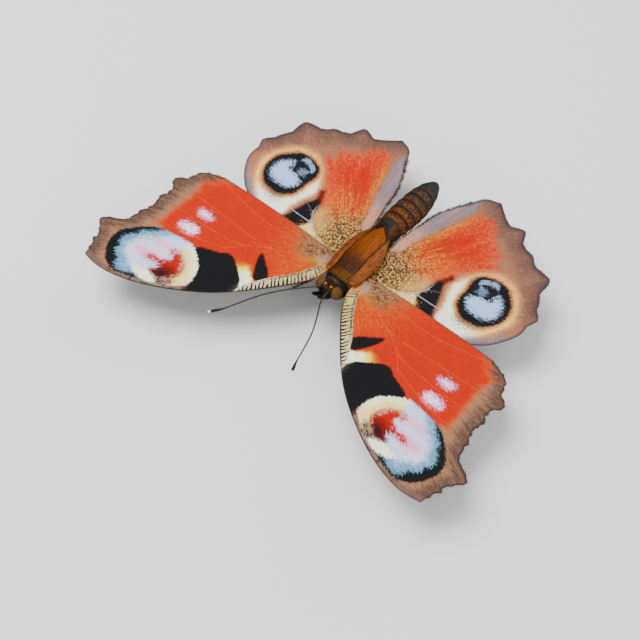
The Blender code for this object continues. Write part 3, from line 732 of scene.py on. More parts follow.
class Maker:
    """Adds nodes to a tree."""

    def __init__(self, tree):
        self.tree = tree

    def node(self, kind, settings=None, inputs=None):
        """A node with its settings, and a value or a link for each of the inputs named."""
        made = self.tree.nodes.new(kind)
        for name, value in (settings or {}).items():
            setattr(made, name, value)
        for name, value in (inputs or {}).items():
            socket = made.inputs[name]
            source = value.socket if isinstance(value, Number) else value
            if isinstance(source, bpy.types.NodeSocket):
                self.tree.links.new(source, socket)
            else:
                socket.default_value = source
        return made

    def math(self, operation, *values):
        node = self.node("ShaderNodeMath", {"operation": operation}, dict(enumerate(values)))
        return Number(self, node.outputs[0])

    def step(self, value, low, high):
        """0 below low and 1 above high, smoothly."""
        node = self.node(
            "ShaderNodeMapRange",
            {"interpolation_type": "SMOOTHSTEP"},
            {"Value": value, "From Min": low, "From Max": high, "To Min": 0.0, "To Max": 1.0},
        )
        return Number(self, node.outputs["Result"])

    def value(self, name):
        """A number that the mesh carries at each of its points."""
        node = self.node("ShaderNodeAttribute", {"attribute_name": name})
        return Number(self, node.outputs["Fac"])

    def mix(self, share, first, second):
        """From the first colour to the second; each is a socket or three parts from 0 to 255."""
        colours = [srgb(*colour) if isinstance(colour, tuple) else colour for colour in (first, second)]
        inputs = {0: share, 6: colours[0], 7: colours[1]}
        return self.node("ShaderNodeMix", {"data_type": "RGBA"}, inputs).outputs[2]

    def tint(self, colour, amount):
        """A colour made lighter or darker by a number."""
        inputs = {0: colour, "Scale": amount}
        return self.node("ShaderNodeVectorMath", {"operation": "SCALE"}, inputs).outputs[0]

    def vector(self, x, y, z=0.0):
        return self.node("ShaderNodeCombineXYZ", None, {"X": x, "Y": y, "Z": z}).outputs[0]

    def noise(self, vector, scale, detail=2.0, roughness=0.5):
        inputs = {"Vector": vector, "Scale": scale, "Detail": detail, "Roughness": roughness}
        return Number(self, self.node("ShaderNodeTexNoise", None, inputs).outputs["Fac"])

    def chance(self, *parts):
        """A random number that stays the same for the same whole numbers."""
        node = self.node("ShaderNodeTexWhiteNoise", None, {"Vector": self.vector(*parts)})
        return Number(self, node.outputs["Value"])

    def cells(self, vector, scale, randomness=1.0):
        """A random number for each cell of a mosaic, and how far a place is from its cell's middle."""
        inputs = {"Vector": vector, "Scale": scale, "Randomness": randomness}
        node = self.node("ShaderNodeTexVoronoi", None, inputs)
        parts = self.node("ShaderNodeSeparateColor", None, {"Color": node.outputs["Color"]})
        return Number(self, parts.outputs[0]), Number(self, node.outputs["Distance"])


def srgb(*parts):
    """A colour given as on a screen, from 0 to 255, as the shader wants it."""
    shares = [part / 255 for part in parts]
    lit = [((share + 0.055) / 1.055) ** 2.4 if share > 0.04 else share / 12.92 for share in shares]
    return (*lit, 1.0)


class Surface(Maker):
    """A material, with the places on the piece that it covers."""

    def __init__(self, name, roughness, specular):
        self.material = bpy.data.materials.new(name)
        self.material.use_nodes = True
        super().__init__(self.material.node_tree)
        self.shader = self.tree.nodes["Principled BSDF"]
        self.shader.inputs["Roughness"].default_value = roughness
        self.shader.inputs["Specular IOR Level"].default_value = specular

    def places(self):
        """Where a place is along each axis, in millimetres from the middle of the wing plane."""
        place = self.node("ShaderNodeTexCoord").outputs["Object"]
        parts = self.node("ShaderNodeSeparateXYZ", None, {0: place}).outputs
        shifts = (0.0, MIDDLE_Y, WING_HEIGHT)
        return [Number(self, part) * (1 / MM) - shift for part, shift in zip(parts, shifts)]

    def finish(self, colour, height=None, strength=0.0, distance=0.0):
        """The material with its colour, and with a relief if it is given a height."""
        self.tree.links.new(colour, self.shader.inputs["Base Color"])
        if height is not None:
            inputs = {"Strength": strength, "Distance": distance * MM, "Height": height}
            bump = self.node("ShaderNodeBump", None, inputs)
            self.tree.links.new(bump.outputs[0], self.shader.inputs["Normal"])
        return self.material


class WingFace(Surface):
    """One side of a wing as its material sees it: places, distances and the scales that cover it."""

    def __init__(self, name, root):
        super().__init__(name, 0.72, 0.06)
        x, self.y, _ = self.places()
        self.x = abs(x)
        self.flat = self.vector(self.x, self.y)
        x, y = self.x - root[0], self.y - root[1]
        self.angle = self.math("ARCTAN2", y, x)
        self.reach = self.math("SQRT", x * x + y * y)
        self.scale, self.relief = self.tiles(SCALE_WIDTH, SCALE_LENGTH)
        self.streak, _ = self.tiles(STREAK_WIDTH, STREAK_LENGTH)
        self.cloud = self.noise(self.flat, 0.55, 3.0)
        self.patchy = self.noise(self.flat, 2.2, 2.0)
        self.fibre = self.noise(self.vector(self.angle * 55.0, self.reach * 0.16), 1.0, 3.0, 0.6)
        self.grain = 0.3 * (self.scale - 0.5) + 0.42 * (self.streak - 0.5)
        self.colour = None

    def tiles(self, width, length):
        """Scales in rows across the way out from the root: a number for each, and how its shape rises."""
        band = self.math("FLOOR", self.reach * (1 / BAND))
        column = self.angle * (band + 0.5) * (BAND / width)
        slot = self.math("FLOOR", column)
        row = self.reach * (1 / length) + self.chance(slot, band, 0.0)
        number = self.chance(slot, self.math("FLOOR", row), band)
        across = 2.0 * self.math("FRACT", column) - 1.0
        return number, self.math("FRACT", row) * (1.0 - 0.5 * across * across)

    def mark(self, name, feather, rough=1.0, shift=0.0):
        """1 inside a marking, its edge as ragged as the scales that make it."""
        return self.step(self.value(name) + shift + self.grain * rough, -feather, feather)

    def paint(self, share, colour):
        self.colour = self.mix(share, self.colour, colour)

    def scaled(self):
        """The material, each scale a touch lighter or darker than the next and all of them in relief."""
        tone = 1.0 + 0.14 * (self.scale - 0.5) + 0.1 * (self.streak - 0.5)
        return self.finish(self.tint(self.colour, tone), self.relief, 0.3, 0.03)


def forewing_upper():
    """The upper side of a forewing, from its red field to the eyespot and the barred front edge."""
    face = WingFace("forewing_upper", FOREWING_HUB)
    x, y, mark, step, blend, value = face.x, face.y, face.mark, face.step, face.mix, face.value
    reach, grain, cloud, fibre, patchy = face.reach, face.grain, face.cloud, face.fibre, face.patchy
    termen, rim, costa = value("termen"), value("rim"), value("costa")
    dorsum, vein = value("dorsum"), value("vein")
    cloudy, fibrous, patched, streaky = cloud - 0.5, fibre - 0.5, patchy - 0.5, face.streak - 0.5
    mottled = patchy + 0.4 * streaky
    black = (22, 22, 24)

    # Red field, its pale veins and the gold and grey scales of the root
    face.colour = blend(step(reach + 3 * cloudy, 10.0, 4.0), (185, 38, 8), (195, 65, 12))
    face.paint(step(cloud + 0.3 * fibre, 0.5, 0.9) * 0.35, (182, 29, 7))
    golden = step(fibre + 0.4 * streaky, 0.5, 0.66) * step(reach, 12.5, 4.0)
    face.paint(golden * 0.5, (204, 109, 18))
    line = step(vein + 0.09 * streaky, 0.1, 0.02) * step(reach, 3.5, 6.0) * step(patchy, 0.3, 0.6)
    face.paint(line * (0.2 + 0.4 * face.streak), (240, 103, 23))
    behind = reach - 0.5 * (y + 4.0)
    root = step(behind + 3.2 * fibrous + 1.6 * grain, 6.6, 2.8)
    root = root * step(y + 0.25 * (x - 4.0) + grain, -2.9, -1.7)
    face.paint(root, blend(step(mottled, 0.35, 0.7), (143, 91, 54), (82, 66, 58)))
    face.paint(root * step(face.scale, 0.65, 0.9) * 0.6, (188, 144, 85))
    face.paint(root * step(face.streak, 0.8, 0.92) * 0.8, (47, 40, 38))
    gold = step(abs(y + 0.62 * x - 0.6) + 0.8 * fibrous, 1.0, 0.2) * step(reach, 6.0, 2.4)
    face.paint(gold * 0.7, (205, 122, 20))
    lilac = face.math("SQRT", (x - 3.0) * (x - 3.0) + (y + 1.3) * (y + 1.3)) + 1.4 * fibrous + grain
    face.paint(step(lilac, 1.3, 0.4) * (0.5 + 0.4 * face.scale), (148, 131, 130))
    rear = step(dorsum + 0.5 * grain + 0.5 * patched, 0.3, 0.05) * step(x, 11.0, 6.0)
    face.paint(rear * 0.6, (176, 118, 81))

    # Brown border, darker outwards and narrow at the rear corner
    border_width = 2.3 - 0.35 * step(y, -9.0, -12.0) - 1.3 * step(y, -3.4, -1.0) - 0.5 * step(y, -1.0, 0.2)
    depth = termen + 1.1 * cloudy + 1.3 * grain
    beside_eye = step(value("eyespot") + 0.6 * grain, -1.7, -0.9) * step(x, 20.4, 21.4)
    beside_eye = beside_eye * step(y + grain, -9.7, -10.5)
    border = face.math("MAXIMUM", step(depth - border_width, 0.35, -0.35), beside_eye)
    brown = blend(step(termen + 0.8 * cloudy + 0.8 * grain, 0.7, 2.0), (91, 66, 55), (152, 108, 79))
    brown = blend(step(mottled, 0.5, 0.8) * 0.5, brown, (114, 93, 80))
    brown = blend(step(fibre, 0.5, 0.68) * 0.35, brown, (165, 116, 81))
    brown = blend(step(fibre, 0.48, 0.36) * 0.35, brown, (82, 63, 56))
    brown = blend(step(vein + 0.1 * streaky, 0.22, 0.06) * 0.3, brown, (74, 56, 50))
    face.paint(step(depth - border_width, 0.75, 0.1) * 0.5, (198, 92, 39))
    face.paint(border, brown)
    face.paint(step(termen + 0.25 * grain, 0.34, 0.04) * 0.75, (63, 48, 47))
    face.paint(step(dorsum + 0.2 * grain, 0.2, 0.05) * 0.8, (139, 80, 48))

    # Pale gap between the black patches, white at the front and yellow behind
    gap = value("cream_gap") + 0.7 * grain
    face.paint(step(gap, -0.6, 0.2) * step(costa + grain, 4.8, 3.4), (208, 108, 18))
    face.paint(step(gap, -0.3, 0.3) * step(costa + 0.8 * grain, 4.1, 3.1), (255, 216, 34))
    face.paint(step(gap, -0.2, 0.25) * step(costa + 0.8 * grain, 3.3, 2.4), (255, 255, 221))
    patch = blend(step(x + 1.2 * grain, 8.9, 8.0) * 0.6, black, (75, 67, 72))
    face.paint(mark("costal_patch", 0.13, 0.35), patch)
    face.paint(mark("tooth_spot", 0.14, 0.35), black)

    # Front edge of the outer half: grey-brown behind a dark line
    strip = step(costa + 0.35 * grain, 0.95, 0.6) * step(x, 12.5, 13.3)
    strips = blend(step(mottled, 0.4, 0.65), (131, 104, 81), (73, 62, 55))
    strips = blend(step(fibre, 0.5, 0.7) * 0.5, strips, (177, 126, 84))
    face.paint(strip, blend(step(x, 20.0, 24.0), strips, (109, 83, 72)))

    # Eyespot: black crescent, blue inside it, lilac middle, red patch and cream side
    deep = value("eye_inside") + 1.1 * grain
    eye = blend(step(deep, -0.2, 0.3), black, (102, 150, 176))
    eye = blend(step(deep + 0.8 * cloudy, 0.5, 1.7), eye, (195, 213, 250))
    centre = mark("eye_centre", 0.8, 1.2)
    eye = blend(centre * 0.85, eye, (223, 205, 243))
    pink = step(value("pink_streak") + 1.0 * grain, -0.6, 0.3)
    eye = blend(pink * 0.5, eye, (244, 91, 114))
    pink = step(value("lower_streak") + 1.0 * grain, -0.45, 0.3)
    eye = blend(pink * 0.45, eye, (249, 95, 106))
    side = value("cream_side") + 0.5 * grain
    red = value("red_patch") + 1.2 * grain + 0.5 * patched
    eye = blend(step(side, -1.0, -0.1) * step(red, -0.9, -0.1), eye, (212, 133, 22))
    core = value("maroon") + 0.9 * grain
    reds = blend(step(core, -1.3, -0.1), (172, 23, 4), (112, 25, 20))
    reds = blend(step(core, -0.3, 0.55), reds, (43, 22, 23))
    eye = blend(step(red, -0.35, 0.2), eye, reds)
    creams = blend(step(red, -1.7, -0.6), (255, 255, 206), (255, 230, 83))
    eye = blend(step(side, -0.15, 0.6), eye, creams)
    mottle = step(costa + 0.6 * grain, 1.65, 1.2) * step(x + grain, 18.2, 17.0)
    greys = blend(step(mottled, 0.35, 0.65), (147, 122, 104), (68, 58, 54))
    greys = blend(step(x + grain, 14.8, 13.9), greys, (255, 215, 162))
    eye = blend(mottle, eye, greys)
    eye = blend(mark("cream_bar", 0.2, 0.5), eye, (255, 255, 221))
    face.paint(mark("eyespot", 0.12, 0.5), eye)
    for name in ("upper_spot", "lower_spot"):
        face.paint(mark(name, 0.4, 1.3), (242, 179, 223))
        face.paint(mark(name, 0.3, 0.9, -0.3) * 0.8, (255, 234, 252))

    # Barred front edge of the inner half
    along = value("costa_along")
    wide = 1.5 - 0.55 * step(x, 6.0, 8.0) - 0.4 * step(x, 3.4, 2.0)
    inner = wide - costa
    strip = step(inner + 0.3 * grain, -0.08, 0.1) * step(x + 0.6 * grain, 8.3, 7.7)
    pale = blend(step(x + grain, 4.2, 6.6), (183, 157, 100), (197, 181, 152))
    pale = blend(step(inner, 0.5, 0.2) * step(x, 7.0, 5.0), pale, (113, 108, 82))
    thread = step(abs(inner - 0.3) + 0.2 * grain, 0.12, 0.04) * step(x, 7.2, 6.0)
    pale = blend(thread * 0.8, pale, (50, 44, 39))
    pale = blend(step(face.scale, 0.5, 0.9) * 0.4, pale, (255, 250, 179))
    pale = blend(step(reach, 3.2, 1.4) * 0.8, pale, (206, 125, 20))
    count = (along + 0.35 * costa) * 2.1 + 1.3 * face.noise(face.flat, 0.9, 2.0)
    number = face.math("FLOOR", count)
    size, length = face.chance(number, 1.0, 0.0), face.chance(number, 2.0, 0.0)
    taper = 1.0 - (0.35 + 0.5 * size) * costa / (0.7 + 0.7 * length)
    bars = (0.2 + 0.14 * size + 0.06 * step(x, 3.6, 5.0)) * taper
    bars = step(bars - abs(face.math("FRACT", count) - 0.5) + 0.16 * grain, -0.06, 0.05)
    bars = bars * step(costa, 1.3 * length + 0.6, 1.1 * length + 0.4) * step(costa, 0.06, 0.16)
    pale = blend(bars * step(x, 1.9, 2.5), pale, (38, 34, 33))
    rail = blend(step(reach + grain, 3.4, 5.2), (132, 77, 37), (47, 39, 33))
    face.paint(strip, blend(step(costa, 0.2, 0.08), pale, rail))
    face.paint(step(costa + 0.1 * grain, 0.15, 0.07) * step(x, 6.5, 8.5) * step(x, 23.0, 17.0), (40, 36, 32))
    face.paint(step(rim + 0.1 * grain, 0.14, 0.04) * step(x, 17.0, 19.0) * 0.6, (56, 43, 40))
    return face.scaled()


def hindwing_upper():
    """The upper side of a hindwing, from its brown outer half to the ringed eyespot."""
    face = WingFace("hindwing_upper", HINDWING_HUB)
    x, y, mark, step, blend, value = face.x, face.y, face.mark, face.step, face.mix, face.value
    reach, grain, cloud, fibre, patchy = face.reach, face.grain, face.cloud, face.fibre, face.patchy
    termen, rim = value("termen"), value("rim")
    black = (22, 22, 24)
    dots, spread = face.cells(face.flat, 4.6, 0.9)
    cloudy, fibrous, patched = cloud - 0.5, fibre - 0.5, patchy - 0.5
    scaly, dotted = face.scale - 0.5, dots - 0.5

    # Brown outer half and the red field
    face.colour = blend(step(termen + 1.6 * cloudy + grain, 0.8, 4.0), (105, 76, 64), (156, 101, 74))
    face.paint(step(fibre, 0.5, 0.75) * 0.22, (179, 106, 70))
    face.paint(step(fibre, 0.44, 0.3) * 0.15, (109, 76, 62))
    face.paint(step(face.streak, 0.8, 0.95) * 0.12, (199, 137, 90))
    face.paint(step(cloud, 0.4, 0.7) * 0.3, (133, 90, 79))
    field = step(value("field") + 1.2 * fibrous + 1.2 * grain, -0.6, 0.6)
    warm = blend(step(y + 0.6 * x + 3.0 * cloudy, 11.0, 16.0), (200, 74, 21), (189, 38, 9))
    warm = blend(step(fibre, 0.5, 0.66) * 0.6, warm, (174, 27, 5))
    warm = blend(step(fibre, 0.46, 0.34) * 0.4, warm, (215, 102, 29))
    face.paint(field, warm)
    inside_field = value("field")
    mottles = step(patchy + 0.5 * scaly, 0.42, 0.7) * step(inside_field, 3.0, 0.3)
    face.paint(field * mottles * 0.6, (190, 94, 64))
    sprinkle = step(spread + 0.1 * scaly, 0.5, 0.32) * step(dots, 0.55, 0.8)
    face.paint(field * sprinkle * 0.5, (241, 125, 45))
    inner_side = step(inside_field, 1.6, 0.2) * step(inside_field, -0.4, 0.4) * step(x, 7.5, 5.5)
    face.paint(inner_side * step(patchy + grain, 0.35, 0.6) * 0.7, (210, 135, 23))

    # Pale ring round the eyespot, violet grey along the front edge
    ring_gap = -1.0 * value("ring")
    around = value("cream_ring") + 0.5 * grain + 0.5 * cloudy
    cream = blend(step(x + 0.4 * y + grain, 14.4, 18.0), (255, 255, 221), (255, 209, 113))
    cream = blend(step(y + grain, 6.0, 9.5), cream, (245, 175, 92))
    cream = blend(step(y + grain, 2.6, 1.4), cream, (255, 255, 244))
    cream = blend(step(patchy + 0.5 * fibrous, 0.5, 0.75) * 0.35, cream, (233, 184, 127))
    edge = step(face.math("MINIMUM", around, ring_gap), 0.9, 0.15) * step(y, 1.2, 3.0)
    cream = blend(edge, cream, (224, 158, 88))
    face.paint(step(around, -0.6, 0.5) * 0.8, (192, 129, 78))
    face.paint(step(around, 0.0, 0.8), cream)
    front = step(y - 0.75 * (x - 15.0) + 0.9 * cloudy, 1.4, -0.3) * step(x, 14.0, 16.0)
    face.paint(front * 0.85, (134, 116, 126))
    face.paint(mark("front_smudge", 0.4, 2.2) * 0.8, (82, 59, 50))
    face.paint(step(ring_gap + 0.8 * grain, 0.45, 0.05) * 0.75, (132, 82, 53))

    # Speckled root, gold dots along the streaks behind it
    speckled = reach + 3.2 * fibrous + 1.6 * dotted
    zone = step(speckled, 9.0, 5.2) * step(x - 0.5 * y, 7.2, 5.6)
    ground = blend(step(patchy, 0.35, 0.65), (58, 49, 42), (100, 73, 49))
    ground = blend(step(reach + grain, 4.4, 2.6) * 0.6, ground, (50, 50, 48))
    ground = blend(step(reach, 4.2, 8.4) * 0.65, ground, (150, 78, 45))
    face.paint(zone, ground)
    face.paint(mark("cream_side", 1.0, 1.4) * 0.6, (206, 174, 91))
    bead = step(spread + 0.12 * scaly, 0.56, 0.36)
    beads = blend(step(dots, 0.25, 0.8), (237, 188, 97), (198, 132, 58))
    beads = blend(step(reach, 5.0, 9.0), beads, (229, 130, 24))
    many = step(speckled, 13.5, 6.0) * step(x - 0.42 * y + 1.2 * dotted, 7.2, 5.4)
    face.paint(bead * step(many + 0.8 * dotted, 0.35, 0.6) * 0.85, beads)
    # painted shade of wing folds: dark red-brown streaks radiating from the root
    ray = face.noise(face.vector(face.angle * 15.0, reach * 0.1), 1.0, 2.0)
    painted_fold_shade = step(abs(ray + 0.12 * grain - 0.5), 0.05, 0.01) * step(reach, 3.5, 6.5) * step(reach, 15.0, 9.0)
    face.paint(painted_fold_shade * step(x - 0.5 * y, 5.5, 4.0) * 0.6, (112, 46, 28))
    face.paint(mark("cream_root", 0.4, 1.0) * step(x + 1.2 * dotted, 3.6, 5.4), (236, 207, 126))
    face.paint(mark("red_streak", 0.25, 1.4) * 0.85, (180, 28, 6))

    # Grey inner band and the dark rear corner
    band = mark("inner_band", 0.3, 0.8)
    greys = blend(step(y + cloudy * 4.0, 6.0, 12.0), (185, 134, 108), (126, 109, 114))
    greys = blend(step(fibre, 0.5, 0.66) * 0.3, greys, (214, 179, 164))
    face.paint(step(value("inner_band") + 0.8 * grain, -0.6, -0.1) * step(y, 8.5, 10.5) * 0.6, (122, 104, 77))
    face.paint(band, greys)
    face.paint(step(y + 0.5 * x + 0.8 * cloudy, 21.0, 23.4) * step(x, 8.6, 7.4) * 0.7, (91, 70, 70))
    corner = step(rim + 0.15 * grain, 0.5, 0.08) * step(y, 14.5, 17.0) * step(x, 9.0, 7.6)
    face.paint(corner * 0.8, (71, 57, 71))

    # Black patch before the eyespot, with its veins and its red tail
    face.paint(step(value("red_tail") + 0.5 * grain, -0.4, 0.2), (96, 27, 20))
    face.paint(step(value("black_patch") + 0.5 * grain, -0.6, 0.1) * step(x, 9.4, 10.4) * 0.7, (97, 62, 47))
    flecks = step(x + 0.9 * grain, 9.7, 9.0) * step(dots, 0.5, 0.7) * bead * step(y, 4.0, 3.2)
    face.paint(mark("black_patch", 0.2, 0.5), blend(flecks, black, (145, 96, 42)))
    lines = step(value("vein") + 0.05 * scaly, 0.1, 0.03)
    veined = lines * step(x - 0.3 * y, 4.3, 5.4) * step(y, 4.8, 4.2) * step(x, 12.0, 11.2)
    faint = 1.0 - 0.8 * step(y, 2.8, 3.2) * step(x, 8.8, 9.1)
    face.paint(veined * faint * 0.8, (147, 152, 182))

    # Eyespot
    eye = blend(mark("blue", 0.2, 1.1, -0.15), black, (86, 105, 120))
    eye = blend(mark("blue", 0.3, 1.2, -0.45), eye, (168, 195, 234))
    smudge = value("smudge") + 1.2 * grain + 1.6 * patched
    eye = blend(step(smudge, -0.25, 0.15), eye, (26, 27, 32))
    eye = blend(mark("grey_spot", 0.25, 1.4), eye, (101, 116, 141))
    eye = blend(mark("crescent", 0.14, 0.8, -0.08), eye, (129, 149, 182))
    face.paint(mark("ring", 0.12, 0.7), eye)

    # Outer edge: violet brown with a dark line
    dark = step(termen + 0.5 * grain + 0.5 * cloudy, 1.3, 0.1)
    face.paint(dark * 0.6, (76, 59, 55))
    face.paint(step(termen + 0.25 * grain, 0.55, 0.12) * 0.7, (63, 50, 58))
    face.paint(step(rim + 0.2 * grain, 0.6, 0.1) * step(x, 14.5, 16.5) * 0.55, (76, 63, 72))
    face.paint(step(rim, 0.14, 0.05) * step(x + y, 10.0, 14.0) * 0.75, (45, 35, 39))
    return face.scaled()


def wing_under(name, hub):
    """The dark underside: bark brown and black, finely lined across the veins."""
    face = WingFace(name, hub)
    x, y, step, blend, value = face.x, face.y, face.step, face.mix, face.value
    cloud, fibre, reach = face.cloud, face.fibre, face.reach
    termen = value("termen")
    wavy = face.math("SINE", termen * 9.0 + 8.0 * (face.noise(face.flat, 0.9, 3.0) - 0.5))
    bend = termen + 1.6 * (cloud - 0.5) + 0.5 * face.math("SINE", y * 0.9)
    face.colour = blend(step(cloud, 0.35, 0.7), (36, 30, 29), (58, 47, 42))
    face.paint(step(bend, 7.4, 6.6) * 0.75, (76, 63, 55))
    face.paint(step(abs(bend - 7.2), 0.4, 0.1) * 0.8, (22, 18, 19))
    face.paint(step(abs(bend - 11.5), 0.7, 0.2) * step(reach, 5.0, 7.0) * 0.7, (23, 20, 21))
    face.paint(step(termen + 0.5 * (cloud - 0.5), 1.9, 1.3), (45, 37, 37))
    face.paint(step(abs(termen - 1.7 + 0.4 * (cloud - 0.5)), 0.3, 0.08) * 0.6, (58, 61, 69))
    face.paint(step(wavy + 1.2 * (face.scale - 0.5), 0.2, 0.9) * 0.6, (23, 19, 20))
    face.paint(step(wavy + 1.0 * (face.streak - 0.5), -0.4, -0.9) * 0.4, (100, 86, 74))
    face.paint(step(fibre, 0.55, 0.7) * 0.25, (97, 82, 70))
    face.paint(step(face.scale, 0.8, 0.95) * 0.3, (113, 98, 80))
    face.paint(step(value("vein"), 0.2, 0.06) * 0.5, (68, 55, 47))
    if name == "hindwing_under":
        dot = face.math("SQRT", (x - 9.2) * (x - 9.2) + (y - 5.6) * (y - 5.6))
        face.paint(step(dot + 0.5 * face.grain, 0.5, 0.3), (241, 221, 167))
    face.paint(step(value("rim"), 0.2, 0.05) * 0.6, (28, 22, 24))
    return face.scaled()


def grow_wing_coats(coats, made, wing, hub, side, gold, dark):
    """Hair over both sides of a wing's root and a fringe along its edges, each following the way out."""
    x, y = wing.flat.T
    reach = np.hypot(x - hub[0], y - hub[1])
    root = ease((ROOT_HAIR - reach) / 3.5) * ease((wing.values["rim"] - 0.1) / 0.3)
    none = np.zeros(len(x))
    radial = np.column_stack([side * (x - hub[0]), y - hub[1], none]) / reach[:, None]
    name = made.name.rpartition("_")[0]
    lie = np.vstack([radial, radial])
    top, under = np.concatenate([0.5 * root, none]), np.concatenate([none, root])
    coats.grow(f"{name}_root_coat", made, top, 1.0, ROOT_COAT, gold, "fur_gold", lie)
    coats.grow(f"{name}_under_coat", made, under, 1.0, ROOT_COAT, dark, "fur_brown", lie)
    edge = ease((FRINGE_BED - wing.values["rim"]) / FRINGE_BED * 2)
    ways = wing.outward() * (side, 1)
    ragged = 0.55 + 0.45 * np.sin(2.9 * y) * np.sin(1.7 * y + 1)
    behind = ease((0.3 - wing.values["dorsum"]) / 0.1) * name.startswith("hindwing")
    behind *= ease((17.8 - y) / 1.0)
    front = ease((0.3 - wing.values["costa"]) / 0.1)
    long = np.tile(0.36 - 0.2 * front + behind * (0.3 + 0.45 * ragged), 2)
    lie = np.column_stack([ways, none]) + (0.35 + 0.9 * behind)[:, None] * radial
    lie = np.vstack([lie, lie])
    coats.grow(f"{name}_fringe", made, np.tile(edge, 2), long, FRINGE_COAT, dark, "fur_brown", lie)


def build_wings(coats):
    """All four wings; the left and the right of a pair share their shape and their materials."""
    fore = Wing(
        (FOREWING_COSTA, FOREWING_TERMEN, FOREWING_DORSUM),
        FOREWING_ROOT,
        FOREWING_TEETH,
        FOREWING_VEINS,
        FOREWING_MARKS,
        forewing_height,
        FOREWING_WAVES,
    )
    hind = Wing(
        (HINDWING_COSTA, HINDWING_TERMEN, HINDWING_DORSUM),
        HINDWING_ROOT,
        HINDWING_TEETH,
        HINDWING_VEINS,
        HINDWING_MARKS,
        hindwing_height,
    )
    fore_materials = (forewing_upper(), wing_under("forewing_under", FOREWING_HUB))
    hind_materials = (hindwing_upper(), wing_under("hindwing_under", HINDWING_HUB))
    gold = wing_hair("root_hair", (112, 76, 45), (199, 151, 65))
    dark = wing_hair("dark_wing_hair", (53, 41, 39), (88, 69, 58))
    kinds = (
        ("forewing", fore, fore_materials, FOREWING_HUB),
        ("hindwing", hind, hind_materials, HINDWING_HUB),
    )
    for side_name, side in SIDES.items():
        for kind, wing, materials, hub in kinds:
            made = wing.build(f"{kind}_{side_name}_scaled", side, materials)
            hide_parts(f"{kind}_{side_name}")
            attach(made, "root")
            grow_wing_coats(coats, made, wing, hub, side, gold, dark)


BODY_CURVE = smooth_curve(BODY, 0.05)


def body_at(y):
    """The height of the body's middle, its half width and its half height, at places along it."""
    return tuple(np.interp(y, BODY_CURVE[:, 0], BODY_CURVE[:, column]) for column in (1, 2, 3))


def ring_mesh(name, rings, side=1, strip=(0.0, 1.0)):
    """A closed skin over rings of points, its unwrap along it and, in a strip of its own, round it."""
    rings = np.asarray(rings, float)
    rows, around = rings.shape[:2]
    faces, unwrap = [], []
    for row in range(rows - 1):
        near, far = row * around, (row + 1) * around
        low, high = row / (rows - 1), (row + 1) / (rows - 1)
        for place in range(around):
            after = (place + 1) % around
            faces.append((near + place, near + after, far + after, far + place))
            left, right = place / around, (place + 1) / around
            unwrap += [(left, low), (right, low), (right, high), (left, high)]
    for row, order in ((0, -1), (rows - 1, 1)):
        faces.append(tuple(range(row * around, (row + 1) * around))[::order])
        unwrap += [(place / around, row / (rows - 1)) for place in range(around)][::order]
    mesh = bpy.data.meshes.new(name)
    mesh.from_pydata([tuple(point) for point in to_frame(rings.reshape(-1, 3), side)], [], faces)
    layer = mesh.uv_layers.new(name="unwrap")
    places = np.array(unwrap, np.float32)
    places[:, 0] = strip[0] + (strip[1] - strip[0]) * places[:, 0]
    layer.uv.foreach_set("vector", places.ravel())
    lie = np.gradient(rings, axis=0).reshape(-1, 3) * (side, 1, 1)
    add_lie(mesh, lie / np.maximum(np.linalg.norm(lie, axis=1), 1e-9)[:, None])
    shell = bmesh.new()
    shell.from_mesh(mesh)
    bmesh.ops.recalc_face_normals(shell, faces=shell.faces)
    shell.to_mesh(mesh)
    shell.free()
    mesh.shade_smooth()
    return linked_object(name, mesh)


def tube_rings(line, sides):
    """Rings round a line of points with radii, each turned no more than the line itself turns."""
    line = np.asarray(line, float)
    places, radii = line[:, :3], line[:, 3]
    along = np.gradient(places, axis=0)
    along /= np.linalg.norm(along, axis=1)[:, None]
    across = np.cross(along[0], (0.0, 0.0, 1.0))
    if np.linalg.norm(across) < 0.1:
        across = np.cross(along[0], (0.0, 1.0, 0.0))
    turns = np.linspace(0, 2 * math.pi, sides, endpoint=False)
    rings = []
    for place, radius, way in zip(places, radii, along):
        across = across - (across @ way) * way
        across /= np.linalg.norm(across)
        upward = np.cross(way, across)
        ring = np.cos(turns)[:, None] * across + np.sin(turns)[:, None] * upward
        rings.append(place + radius * ring)
    return np.array(rings)


def pad_swell(y, turn):
    """How much the pad raises the body at a place along it and an angle from its top."""
    share = (y - PAD[0]) / (PAD[1] - PAD[0])
    reach = np.radians(PAD_DEG) * np.minimum(1, PAD_TAPER * (1 - share) + PAD_TIP)
    across = ease(3 * (1 - np.abs(turn) / np.maximum(reach, 0.01)))
    return np.where((share > 0) & (share < 1), PAD_RISE * across * ease(6 * share), 0)


def ring_swell(y):
    """How much each of the abdomen's rings stands out, steep at its rear edge."""
    share = ABDOMEN_RINGS * (y - ABDOMEN[0]) / (ABDOMEN[1] - ABDOMEN[0])
    along = share % 1
    rise = RING_RISE * (ease(along / 0.75) - ease((along - 1 + GROOVE_SHARE) / GROOVE_SHARE))
    return np.where((share > 0) & (share < ABDOMEN_RINGS - 0.5), rise, 0)


def body_rings():
    """The rings of the skin, from the face to the tip of the tail."""
    span = np.arange(BODY[0][0], BODY[-1][0], SKIN_STEP)
    turns = np.linspace(-math.pi, math.pi, SKIN_SIDES, endpoint=False)
    y, turn = np.meshgrid(span, turns, indexing="ij")
    middle, half_width, half_height = body_at(y)
    out = 1 + pad_swell(y, turn) + ring_swell(y)
    return np.stack([out * half_width * np.sin(turn), y, middle + out * half_height * np.cos(turn)], axis=2)


